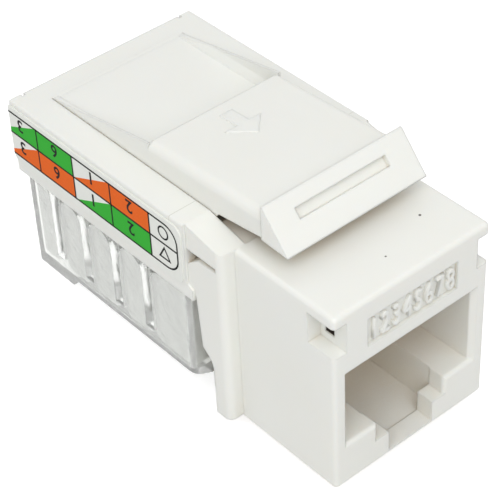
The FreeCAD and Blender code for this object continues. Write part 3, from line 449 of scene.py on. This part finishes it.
def lacquered_laminate(finish):
    """Glass-epoxy board under green solder lacquer: glossy, with the glass weave just showing."""
    material, tree, shader = start_material(
        "lacquered_laminate", IOR=1.5, Roughness=0.25, Coat_Weight=0.4, Coat_Roughness=0.1)
    place = add_node(tree, "ShaderNodeTexCoord").outputs["Object"]
    # Glass yarns lie 0.5 mm apart both ways; they are drawn nearly 1 mm apart so that they show.
    yarns = [add_node(tree, "ShaderNodeTexWave",
                      {"Scale": per_metre(0.987) / WAVES_PER_UNIT, "Distortion": 0.4},
                      {"Vector": place}, bands_direction=direction).outputs["Fac"]
             for direction in ("X", "Y")]
    cloth = joined(tree, yarns, "MULTIPLY")
    ramp = add_node(tree, "ShaderNodeValToRGB", links={"Fac": cloth})
    ramp.color_ramp.elements[0].color = linear("#175636")
    ramp.color_ramp.elements[1].color = finish.solder_mask
    tree.links.new(ramp.outputs["Color"], shader.inputs["Base Color"])
    relief(tree, shader, cloth, strength=0.15, height=0.01 * MM)
    return material


def soldered_tin():
    """Solder: bright, rounded, slightly frosted metal."""
    material, tree, shader = start_material(
        "soldered_tin", Metallic=1.0, Base_Color=linear("#D2D2D0"), Roughness=0.22)
    place = add_node(tree, "ShaderNodeTexCoord").outputs["Object"]
    # Frost of the cooling skin, about 0.15 mm.
    frost = add_node(tree, "ShaderNodeTexNoise", {"Scale": per_metre(0.15), "Detail": 3},
                     {"Vector": place})
    uneven_gloss(tree, shader, frost.outputs["Fac"], smoothest=0.12, roughest=0.4)
    return material


def label_film(finish):
    """White calendered vinyl film: flat, soft-glossy, with a faint orange-peel from its glue."""
    material, tree, shader = start_material("label_film", IOR=1.5, Roughness=0.38)
    place = add_node(tree, "ShaderNodeTexCoord").outputs["Object"]
    # Glue under the film leaves a peel about 0.6 mm across.
    peel = clouded(tree, shader, place, millimetres=0.6, detail=2, low=linear("#E4E6DF"),
                   high=finish.film)
    relief(tree, shader, peel, strength=0.12, height=0.01 * MM)
    return material


def offset_ink(name, colour):
    """Offset ink on film: even colour with a fine dot to it and a soft sheen."""
    material, tree, shader = start_material(
        name, IOR=1.5, Roughness=0.6, Specular_IOR_Level=0.1)
    place = add_node(tree, "ShaderNodeTexCoord").outputs["Object"]
    # The screen's dots lie 0.07 mm apart; they are drawn at 0.14 mm so that they show.
    dots = add_node(tree, "ShaderNodeTexNoise", {"Scale": per_metre(0.14), "Detail": 2},
                    {"Vector": place})
    tone = add_node(tree, "ShaderNodeMapRange", {"To Min": 0.9, "To Max": 1.08},
                    {"Value": dots.outputs["Fac"]})
    shade = add_node(tree, "ShaderNodeHueSaturation", {"Color": colour},
                     {"Value": tone.outputs["Result"]})
    tree.links.new(shade.outputs["Color"], shader.inputs["Base Color"])
    return material


def etched_copper():
    """Etched copper foil seen through green lacquer: a lighter, slightly golden green."""
    material, tree, shader = start_material(
        "etched_copper", IOR=1.5, Roughness=0.25, Coat_Weight=0.4, Coat_Roughness=0.1)
    place = add_node(tree, "ShaderNodeTexCoord").outputs["Object"]
    # Thickness of the lacquer wanders over about 1 mm.
    clouded(tree, shader, place, millimetres=1, detail=2, low=linear("#2F8453"),
            high=linear("#459C62"))
    return material


# ---------------------------------------------------------------- piece helpers

# Height of the typeface's numerals as a share of its size.
TYPE_HEIGHT = 0.7


def material_named(name):
    """A material made earlier; says which step is missing if it isn't there."""
    material = bpy.data.materials.get(name)
    if material is None:
        raise RuntimeError(f"{name} is missing: run Mould finishes first")
    return material


def finished(name, shape, material, body):
    """Turns a bmesh into a piece of a named material, on a body and with a material slot."""
    bmesh.ops.dissolve_degenerate(shape, edges=shape.edges, dist=TOUCHING)
    mesh = bpy.data.meshes.new(name)
    shape.to_mesh(mesh)
    shape.free()
    piece = bpy.data.objects.new(name, mesh)
    bpy.context.scene.collection.objects.link(piece)
    mesh.materials.append(material_named(material))
    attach(piece, body)


def plate_outline(width, height):
    """A flat rectangle in XY about the origin."""
    shape = bmesh.new()
    bmesh.ops.create_grid(shape, x_segments=1, y_segments=1, size=0.5)
    bmesh.ops.scale(shape, vec=(width, height, 1), verts=shape.verts)
    return shape


def hollow(shape, line):
    """Leaves only a rim of a flat outline, as wide as a line."""
    inset = bmesh.ops.inset_region(shape, faces=list(shape.faces), thickness=line,
                                   use_boundary=True, use_even_offset=True)
    rim = set(inset["faces"])
    middle = [face for face in shape.faces if face not in rim]
    bmesh.ops.delete(shape, geom=middle, context="FACES")


def thicken(shape, depth):
    """Raises a flat outline in XY by a depth along +Z into a closed plate."""
    top = bmesh.ops.extrude_face_region(shape, geom=list(shape.faces))
    risen = [item for item in top["geom"] if isinstance(item, bmesh.types.BMVert)]
    bmesh.ops.translate(shape, verts=risen, vec=(0, 0, depth))
    bmesh.ops.recalc_face_normals(shape, faces=shape.faces)


def moved(shape, offset):
    """Moves a bmesh and returns it."""
    bmesh.ops.translate(shape, verts=shape.verts, vec=offset)
    return shape


def merge(target, source):
    """Adds one bmesh to another and frees it."""
    mesh = bpy.data.meshes.new("joining")
    source.to_mesh(mesh)
    source.free()
    target.from_mesh(mesh)
    bpy.data.meshes.remove(mesh)


def glyph(text, height, depth, bevel=0.0, weight=0.0):
    """Flat numerals in XY, centred on the origin and raised by a depth."""
    curve = bpy.data.curves.new("glyph", "FONT")
    curve.body = text
    curve.size = height / TYPE_HEIGHT
    curve.extrude = depth / 2
    curve.bevel_depth = bevel
    curve.bevel_resolution = 2 if bevel else 0
    curve.resolution_u = 6
    curve.offset = weight
    holder = bpy.data.objects.new("glyph", curve)
    bpy.context.scene.collection.objects.link(holder)
    bpy.context.view_layer.update()
    seen = holder.evaluated_get(bpy.context.evaluated_depsgraph_get())
    mesh = bpy.data.meshes.new_from_object(seen)
    shape = bmesh.new()
    shape.from_mesh(mesh)
    bpy.data.objects.remove(holder)
    bpy.data.meshes.remove(mesh)
    bpy.data.curves.remove(curve)
    bmesh.ops.remove_doubles(shape, verts=shape.verts, dist=TOUCHING)
    low = [min(vertex.co[axis] for vertex in shape.verts) for axis in range(3)]
    high = [max(vertex.co[axis] for vertex in shape.verts) for axis in range(3)]
    return moved(shape, (-(low[0] + high[0]) / 2, -(low[1] + high[1]) / 2, -low[2]))


def frame_of(across, up, out, origin):
    """Matrix that lays flat artwork on a face: its X, Y and outward directions, and its origin."""
    turn = Matrix((across, up, out)).transposed().to_4x4()
    return Matrix.Translation(origin) @ turn


# ---------------------------------------------------------------- wiring labels

# All in millimetres. Cells lie between stations behind the front face, and the last one runs past
# the label's rear edge, which cuts it off. Rows lie between heights above the port's middle.
CELL_EDGES = (13.96, 17.05, 21.5, 25.95, 30.3, 34.65)
ROW_EDGES = (4.6, 6.65, 8.6)
BOX_RADIUS = 1.35

# Pin numbers stand a little above their cell's middle, and in the rear cell a little behind it.
NUMERAL_RISE = 0.12
REAR_NUMERAL_SHIFT = 0.35

# Open symbols for the two wiring schemes: corners and radius, and the width of their line.
RING = (32, 0.58)
TRIANGLE = (3, 0.78)
SYMBOL_LINE = 0.14

# Layers of print over the film.
COLOUR_LAYER, BLACK_LAYER = 0, 1

# Pin number, pair's colour and whether the wire is striped, from the rear cell to the front one,
# upper row first.
GREEN_FIRST = (("3", "green", True), ("6", "green", False),
               ("1", "orange", True), ("2", "orange", False))
ORANGE_FIRST = (("3", "orange", True), ("6", "orange", False),
                ("1", "green", True), ("2", "green", False))
BLUE_FIRST = (("5", "blue", True), ("4", "blue", False),
              ("7", "brown", True), ("8", "brown", False))
LABEL_ROWS = {"left": (GREEN_FIRST, ORANGE_FIRST), "right": (BLUE_FIRST, BLUE_FIRST)}


class LabelArt:
    """Draws one side's artwork in label millimetres: u behind the front face, v above the port."""

    def __init__(self, marks, side):
        self.marks = marks
        self.outward = -1 if side == "left" else 1
        self.wall = LABEL_LEFT[0].x if side == "left" else LABEL_RIGHT[1].x
        self.rear = HOUSING[1].y / MM

    def cut(self, shape, point, normal):
        """Cuts a flat shape off beyond a line."""
        geometry = [*shape.verts, *shape.edges, *shape.faces]
        bmesh.ops.bisect_plane(shape, geom=geometry, plane_co=point, plane_no=normal,
                               clear_outer=True)

    def raised(self, shape, layer):
        """Cuts a flat shape off at the label's rear edge and gives it the print's thickness."""
        self.cut(shape, (self.rear * MM, 0, 0), (1, 0, 0))
        thicken(shape, self.marks.print_relief)
        return moved(shape, (0, 0, layer * self.marks.print_relief))

    def cell(self, low_u, high_u, low_v, high_v):
        """A flat rectangle between two stations and two heights."""
        shape = plate_outline((high_u - low_u) * MM, (high_v - low_v) * MM)
        return moved(shape, ((low_u + high_u) / 2 * MM, (low_v + high_v) / 2 * MM, 0))

    def full_cell(self, low_u, high_u, low_v, high_v, layer):
        """A rectangle of print."""
        return self.raised(self.cell(low_u, high_u, low_v, high_v), layer)

    def half_cell(self, low_u, high_u, low_v, high_v, layer):
        """The coloured half of a striped pair's cell, under a diagonal that rises to the front."""
        shape = self.cell(low_u, high_u, low_v, high_v)
        along = Vector(((low_u - high_u) * MM, (high_v - low_v) * MM, 0))
        normal = Vector((along.y, -along.x, 0)).normalized()
        self.cut(shape, (high_u * MM, low_v * MM, 0), normal)
        return self.raised(shape, layer)

    def outline(self, layer):
        """The black frame: rounded at the front, and running off the label's rear edge."""
        line = self.marks.line_width
        low_u, high_u = CELL_EDGES[0] * MM, self.rear * MM + line * 2
        low_v, high_v = ROW_EDGES[0] * MM, ROW_EDGES[-1] * MM
        shape = plate_outline(high_u - low_u, high_v - low_v)
        moved(shape, ((low_u + high_u) / 2, (low_v + high_v) / 2, 0))
        front = [vertex for vertex in shape.verts if vertex.co.x < low_u + line]
        bmesh.ops.bevel(shape, geom=front, offset=BOX_RADIUS * MM, offset_type="OFFSET", segments=8,
                        profile=0.5, affect="VERTICES", material=-1)
        hollow(shape, line)
        return self.raised(shape, layer)

    def numeral(self, text, u, v, layer):
        """A pin number, turned over to read with the latch below, whichever way u runs."""
        shape = glyph(text, self.marks.digit_height, self.marks.print_relief,
                      weight=self.marks.digit_weight)
        turn = Matrix.Diagonal((-self.outward, -1, 1, 1))
        bmesh.ops.transform(shape, matrix=turn, verts=shape.verts)
        return moved(shape, (u * MM, v * MM, layer * self.marks.print_relief))

    def symbol(self, corners, radius, u, v, layer):
        """An open symbol that marks one wiring scheme."""
        shape = bmesh.new()
        bmesh.ops.create_circle(shape, cap_ends=True, segments=corners, radius=radius * MM)
        hollow(shape, SYMBOL_LINE * MM)
        thicken(shape, self.marks.print_relief)
        return moved(shape, (u * MM, v * MM, layer * self.marks.print_relief))

    def place(self, shape):
        """Lays the artwork on the label's outer face."""
        lay = Matrix(((0, 0, self.outward, self.wall), (1, 0, 0, 0), (0, 1, 0, 0), (0, 0, 0, 1)))
        bmesh.ops.transform(shape, matrix=lay, verts=shape.verts)
        bmesh.ops.recalc_face_normals(shape, faces=shape.faces)
        return shape


def print_label(side, marks):
    """Prints one side's colour fields, lines, pin numbers and scheme symbols."""
    art = LabelArt(marks, side)
    fields = {}
    black = bmesh.new()
    for row, cells in enumerate(LABEL_ROWS[side]):
        low_v, high_v = ROW_EDGES[1 - row], ROW_EDGES[2 - row]
        for place, (number, colour, striped) in enumerate(cells):
            front = len(cells) - place
            low_u, high_u = CELL_EDGES[front], CELL_EDGES[front + 1]
            if colour not in fields:
                fields[colour] = bmesh.new()
            draw = art.half_cell if striped else art.full_cell
            merge(fields[colour], draw(low_u, high_u, low_v, high_v, COLOUR_LAYER))
            shift = REAR_NUMERAL_SHIFT if place == 0 else 0
            middle_u = (low_u + min(high_u, art.rear)) / 2 + shift
            middle_v = (low_v + high_v) / 2 + NUMERAL_RISE
            merge(black, art.numeral(number, middle_u, middle_v, BLACK_LAYER))
    half = marks.line_width / MM / 2
    for edge in CELL_EDGES[1:-1]:
        merge(black, art.full_cell(edge - half, edge + half, ROW_EDGES[0], ROW_EDGES[-1],
                                   BLACK_LAYER))
    merge(black, art.full_cell(CELL_EDGES[0], CELL_EDGES[-1], ROW_EDGES[1] - half,
                               ROW_EDGES[1] + half, BLACK_LAYER))
    merge(black, art.outline(BLACK_LAYER))
    symbols = bmesh.new()
    for row, (corners, radius) in ((1, RING), (0, TRIANGLE)):
        middle_u = (CELL_EDGES[0] + CELL_EDGES[1]) / 2
        middle_v = (ROW_EDGES[row] + ROW_EDGES[row + 1]) / 2
        merge(symbols, art.symbol(corners, radius, middle_u, middle_v, BLACK_LAYER))
    for colour, shape in fields.items():
        finished(f"label_{side}_{colour}", art.place(shape), f"{colour}_ink", "jack")
    finished(f"label_{side}_lines", art.place(black), "black_ink", "jack")
    finished(f"label_{side}_symbols", art.place(symbols), "black_ink", "jack")


# ---------------------------------------------------------------- marks, board and stage sizes

# Raised way numbers: their width as a share of the typeface's, and the rounding of their edges.
NUMERAL_SQUEEZE = 0.62
NUMERAL_ROUNDING = 0.05 * MM

# Rear and front end of the latch's plateau, on the middle plane.
PLATEAU_REAR = Vector((0, 20.05 * MM, 11.5 * MM))
PLATEAU_FRONT = Vector((0, 7.9 * MM, 12.2 * MM))

# Arrow on the latch: half its stem as a share of its width, its neck's place as a share of its
# length, and the rounding of its rim as a share of its relief.
ARROW_STEM, ARROW_NECK, ARROW_ROUNDING = 0.17, 0.02, 0.8

# A port contact's rearmost part is its pin, whose middle lies this far in from its rear side.
PIN_INSET = 0.15 * MM

# Cone of solder on the board: its radii at the pad and at the pin, and its height.
PAD_RADIUS, PIN_RADIUS, SOLDER_HEIGHT = 0.42 * MM, 0.16 * MM, 0.26 * MM

# Copper traces on the board: their width and thickness.
TRACE_WIDTH, TRACE_DEPTH = 0.3 * MM, 0.02 * MM

# Square floor's side, in metres.
FLOOR_SIDE = 1.2

# How brightly the floor's paper glows to the eye; through clear plastic it is white.
PAPER_GLOW = 0.66

# Lamps: name, the setting that holds the power, place and side, in metres. All point at one place.
LAMPS = (("key_lamp", "key", (-0.134, -0.139, 0.246), 0.3),
         ("fill_lamp", "fill", (0.1, 0.1, 0.28), 0.24))
LAMP_AIM = Vector((0, 15 * MM, 0))


# ---------------------------------------------------------------- operators

class KEYSTONE_OT_finishes(bpy.types.Operator):
    """Gives each moulded, plated and printed part its finish"""
    bl_idname = "keystone.finishes"
    bl_label = "Mould finishes"

    def execute(self, context):
        finish = context.scene.jack_finish
        finishes = {
            "housing": injection_moulded_abs(finish),
            "contact_carrier": moulded_pbt(finish),
            "circuit_board": lacquered_laminate(finish),
            "idc_block": moulded_white_polycarbonate(finish),
            "wire_cap": clear_polycarbonate(finish),
            "jack_contact_1": gold_plated_bronze(finish),
            "idc_contact_1": tinned_bronze(finish),
            "wiring_label_left": label_film(finish),
        }
        finishes["latch_arm"] = finishes["housing"]
        finishes["wiring_label_right"] = finishes["wiring_label_left"]
        for way in WAYS:
            finishes[f"jack_contact_{way}"] = finishes["jack_contact_1"]
            finishes[f"idc_contact_{way}"] = finishes["idc_contact_1"]
        thin_moulded_abs(finish)
        soldered_tin()
        etched_copper()
        for name in ("green", "orange", "blue", "brown"):
            offset_ink(f"{name}_ink", tuple(getattr(finish, name)))
        offset_ink("black_ink", tuple(finish.ink))
        for node, material in finishes.items():
            slots = frame["nodes"][node].material_slots
            if not slots:
                raise RuntimeError(f"{node} has no material slot")
            for slot in slots:
                slot.material = material
        return {"FINISHED"}


class KEYSTONE_OT_way_numbers(bpy.types.Operator):
    """Raises the eight way numbers in the panel above the port"""
    bl_idname = "keystone.way_numbers"
    bl_label = "Way numbers"

    def execute(self, context):
        marks = context.scene.jack_marks
        depth = marks.numeral_relief + marks.mark_root
        shape = bmesh.new()
        for way in WAYS:
            numeral = glyph(str(way), marks.numeral_height, depth, NUMERAL_ROUNDING)
            bmesh.ops.scale(numeral, vec=(NUMERAL_SQUEEZE, 1, 1), verts=numeral.verts)
            offset = (way - (len(WAYS) + 1) / 2) * marks.way_pitch
            merge(shape, moved(numeral, (offset, 0, -marks.mark_root)))
        lay = frame_of(Vector((1, 0, 0)), Vector((0, 0, 1)), Vector((0, -1, 0)),
                       Vector((0, marks.panel_floor, marks.panel_middle)))
        bmesh.ops.transform(shape, matrix=lay, verts=shape.verts)
        finished("way_numbers", shape, "injection_moulded_abs", "jack")
        return {"FINISHED"}


class KEYSTONE_OT_latch_arrow(bpy.types.Operator):
    """Raises an arrow on the latch's plateau, pointing at the plate"""
    bl_idname = "keystone.latch_arrow"
    bl_label = "Latch arrow"

    def execute(self, context):
        marks = context.scene.jack_marks
        forward = (PLATEAU_FRONT - PLATEAU_REAR).normalized()
        out = Vector((1, 0, 0)).cross(-forward).normalized()
        share = (PLATEAU_REAR.y - marks.arrow_station) / (PLATEAU_REAR.y - PLATEAU_FRONT.y)
        middle = PLATEAU_REAR.lerp(PLATEAU_FRONT, share)
        shape = arrow_outline(marks.arrow_width, marks.arrow_length)
        thicken(shape, marks.arrow_relief + marks.mark_root)
        moved(shape, (0, 0, -marks.mark_root))
        rims = [edge for edge in shape.edges
                if all(vertex.co.z > marks.arrow_relief / 2 for vertex in edge.verts)]
        bmesh.ops.bevel(shape, geom=rims, offset=marks.arrow_relief * ARROW_ROUNDING,
                        offset_type="OFFSET", segments=3, profile=0.5, affect="EDGES", material=-1)
        lay = frame_of(Vector((-1, 0, 0)), forward, out, middle)
        bmesh.ops.transform(shape, matrix=lay, verts=shape.verts)
        finished("latch_arrow", shape, "injection_moulded_abs", "latch")
        return {"FINISHED"}


def arrow_outline(width, length):
    """A flat arrow in XY that points along +Y, its middle at the origin."""
    shape = bmesh.new()
    half, stem, neck = width / 2, width * ARROW_STEM, length * ARROW_NECK
    corners = ((0, length / 2), (-half, neck), (-stem, neck), (-stem, -length / 2),
               (stem, -length / 2), (stem, neck), (half, neck))
    shape.faces.new([shape.verts.new((across, along, 0)) for across, along in corners])
    return shape


class KEYSTONE_OT_hinge_skin(bpy.types.Operator):
    """Carries the skin of the moulding across the latch's root, where the plastic bends"""
    bl_idname = "keystone.hinge_skin"
    bl_label = "Hinge skin"

    def execute(self, context):
        marks = context.scene.jack_marks
        root = next(joint["pos_m"] for joint in frame["joints"] if joint["name"] == "latch_flex")
        shape = plate_outline(marks.skin_width, marks.skin_length)
        thicken(shape, marks.skin_depth)
        # It stands proud of the wall by no more than a layer of print does.
        moved(shape, (0, root[1], HOUSING[1].z - marks.skin_depth + marks.print_relief))
        finished("hinge_skin", shape, "thin_moulded_abs", "latch")
        return {"FINISHED"}


class KEYSTONE_OT_wiring_print(bpy.types.Operator):
    """Prints the colour fields, lines and pin numbers on both wiring labels"""
    bl_idname = "keystone.wiring_print"
    bl_label = "Wiring print"

    def execute(self, context):
        for side in ("left", "right"):
            print_label(side, context.scene.jack_marks)
        return {"FINISHED"}


class KEYSTONE_OT_board_copper(bpy.types.Operator):
    """Adds traces, pads and solder to the circuit board"""
    bl_idname = "keystone.board_copper"
    bl_label = "Board copper"

    def execute(self, context):
        top = BOARD[1].z
        copper = bmesh.new()
        solder = bmesh.new()
        pins = [((low.x + high.x) / 2, high.y - PIN_INSET) for low, high in CONTACTS]
        blades = [((low.x + high.x) / 2, (low.y + high.y) / 2) for low, high in BLADES]
        for x, y in pins + blades:
            merge(solder, solder_joint(x, y, top))
        for (x, y), (blade_x, blade_y) in zip(pins, blades):
            for start, end in (((x, y), (x, blade_y)), ((x, blade_y), (blade_x, blade_y))):
                merge(copper, trace(start, end, top))
        finished("board_traces", copper, "etched_copper", "jack")
        finished("board_solder", solder, "soldered_tin", "jack")
        return {"FINISHED"}


def solder_joint(x, y, top):
    """A cone of solder that climbs a pin, on its round pad."""
    shape = bmesh.new()
    bmesh.ops.create_cone(shape, cap_ends=True, segments=20, radius1=PAD_RADIUS,
                          radius2=PIN_RADIUS, depth=SOLDER_HEIGHT)
    return moved(shape, (x, y, top + SOLDER_HEIGHT / 2))


def trace(start, end, top):
    """A straight copper trace on the board's top, with square ends."""
    shape = plate_outline(abs(end[0] - start[0]) + TRACE_WIDTH,
                          abs(end[1] - start[1]) + TRACE_WIDTH)
    thicken(shape, TRACE_DEPTH)
    return moved(shape, ((start[0] + end[0]) / 2, (start[1] + end[1]) / 2, top))


class KEYSTONE_OT_stage(bpy.types.Operator):
    """Sets up the pale floor, the soft lamps, the sky and the camera"""
    bl_idname = "keystone.stage"
    bl_label = "Stage"

    def execute(self, context):
        scene, stage = context.scene, context.scene.jack_stage
        shape = moved(plate_outline(FLOOR_SIDE, FLOOR_SIDE), (0, 0, CAD_BOX[0][2]))
        mesh = bpy.data.meshes.new("floor")
        shape.to_mesh(mesh)
        shape.free()
        mesh.materials.append(studio_paper())
        floor = bpy.data.objects.new("floor", mesh)
        scene.collection.objects.link(floor)
        set_sky(scene, stage.sky)
        for name, setting, place, side in LAMPS:
            hang_lamp(scene, name, Vector(place), side, getattr(stage, setting))
        stand_camera(scene, stage)
        scene.view_settings.view_transform = "Standard"
        return {"FINISHED"}


def studio_paper():
    """Matt pale background paper, which glows to the eye and to glass and keeps a soft shadow."""
    material, tree, shader = start_material(
        "studio_paper", Roughness=0.9, Base_Color=linear("#D6D6D6"), Specular_IOR_Level=0.0)
    paths, seen = background_rays(tree)
    level = add_node(tree, "ShaderNodeMapRange", {"To Min": PAPER_GLOW, "To Max": 1.0},
                     {"Value": paths["Is Transmission Ray"]})
    glow = add_node(tree, "ShaderNodeEmission", {"Color": (1, 1, 1, 1)},
                    {"Strength": level.outputs["Result"]})
    clear = add_node(tree, "ShaderNodeMixShader", {}, {"Fac": seen, 2: glow.outputs["Emission"]})
    lit = add_node(tree, "ShaderNodeAddShader", {},
                   {0: shader.outputs["BSDF"], 1: clear.outputs[0]})
    tree.links.new(lit.outputs["Shader"], tree.nodes["Material Output"].inputs["Surface"])
    return material


def set_sky(scene, strength):
    """Even light from all round, which camera, mirror and glass rays see as white."""
    world = bpy.data.worlds.new("studio")
    world.use_nodes = True
    tree = world.node_tree
    tree.nodes.clear()
    _, seen = background_rays(tree)
    level = add_node(tree, "ShaderNodeMapRange", {"To Min": strength, "To Max": 1.0},
                     {"Value": seen})
    sky = add_node(tree, "ShaderNodeBackground", {"Color": (1, 1, 1, 1)},
                   {"Strength": level.outputs["Result"]})
    add_node(tree, "ShaderNodeOutputWorld", links={"Surface": sky.outputs["Background"]})
    scene.world = world


def hang_lamp(scene, name, place, side, power):
    """A square soft lamp that points at the jack."""
    lamp = bpy.data.lights.new(name, "AREA")
    lamp.shape = "SQUARE"
    lamp.size = side
    lamp.energy = power
    holder = bpy.data.objects.new(name, lamp)
    holder.location = place
    holder.rotation_euler = (LAMP_AIM - place).to_track_quat("-Z", "Y").to_euler()
    scene.collection.objects.link(holder)


def stand_camera(scene, stage):
    """Stands the camera at its place, turned to its aim and rolled about its view."""
    camera = bpy.data.cameras.new("camera")
    camera.lens = stage.lens
    camera.sensor_width = 36.0
    camera.clip_start = 0.005
    camera.clip_end = 5.0
    place, aim = Vector(stage.camera_place), Vector(stage.camera_aim)
    forward = (aim - place).normalized()
    right = forward.cross(Vector((0, 0, 1))).normalized()
    up = right.cross(forward)
    turn, lean = math.cos(stage.camera_roll), math.sin(stage.camera_roll)
    rolled_right = right * turn + up * lean
    rolled_up = up * turn - right * lean
    holder = bpy.data.objects.new("camera", camera)
    holder.matrix_world = frame_of(rolled_right, rolled_up, -forward, place)
    scene.collection.objects.link(holder)
    scene.camera = holder


class KEYSTONE_PT_jack(bpy.types.Panel):
    """Lists the jack's settings and steps"""
    bl_idname = "KEYSTONE_PT_jack"
    bl_label = "Keystone Jack"
    bl_space_type = "VIEW_3D"
    bl_region_type = "UI"
    bl_category = "Keystone Jack"

    def draw(self, context):
        layout = self.layout
        for group, _ in GROUPS:
            box = layout.box()
            settings = getattr(context.scene, group)
            for name in settings.__annotations__:
                box.prop(settings, name)
        for operator in OPERATORS:
            layout.operator(operator.bl_idname)


OPERATORS = (KEYSTONE_OT_finishes, KEYSTONE_OT_way_numbers, KEYSTONE_OT_latch_arrow,
             KEYSTONE_OT_hinge_skin, KEYSTONE_OT_wiring_print, KEYSTONE_OT_board_copper,
             KEYSTONE_OT_stage)


def register():
    """Adds the settings, the steps and the panel."""
    for _, group in GROUPS:
        bpy.utils.register_class(group)
    for name, group in GROUPS:
        setattr(bpy.types.Scene, name, bpy.props.PointerProperty(type=group))
    for operator in OPERATORS:
        bpy.utils.register_class(operator)
    bpy.utils.register_class(KEYSTONE_PT_jack)


def unregister():
    """Takes out what register adds, in the opposite order."""
    bpy.utils.unregister_class(KEYSTONE_PT_jack)
    for operator in reversed(OPERATORS):
        bpy.utils.unregister_class(operator)
    for name, group in reversed(GROUPS):
        delattr(bpy.types.Scene, name)
        bpy.utils.unregister_class(group)


def main():
    """Runs the steps in order."""
    register()
    bpy.ops.keystone.finishes()
    bpy.ops.keystone.way_numbers()
    bpy.ops.keystone.latch_arrow()
    bpy.ops.keystone.hinge_skin()
    bpy.ops.keystone.wiring_print()
    bpy.ops.keystone.board_copper()
    bpy.ops.keystone.stage()


if __name__ == "__main__":
    main()
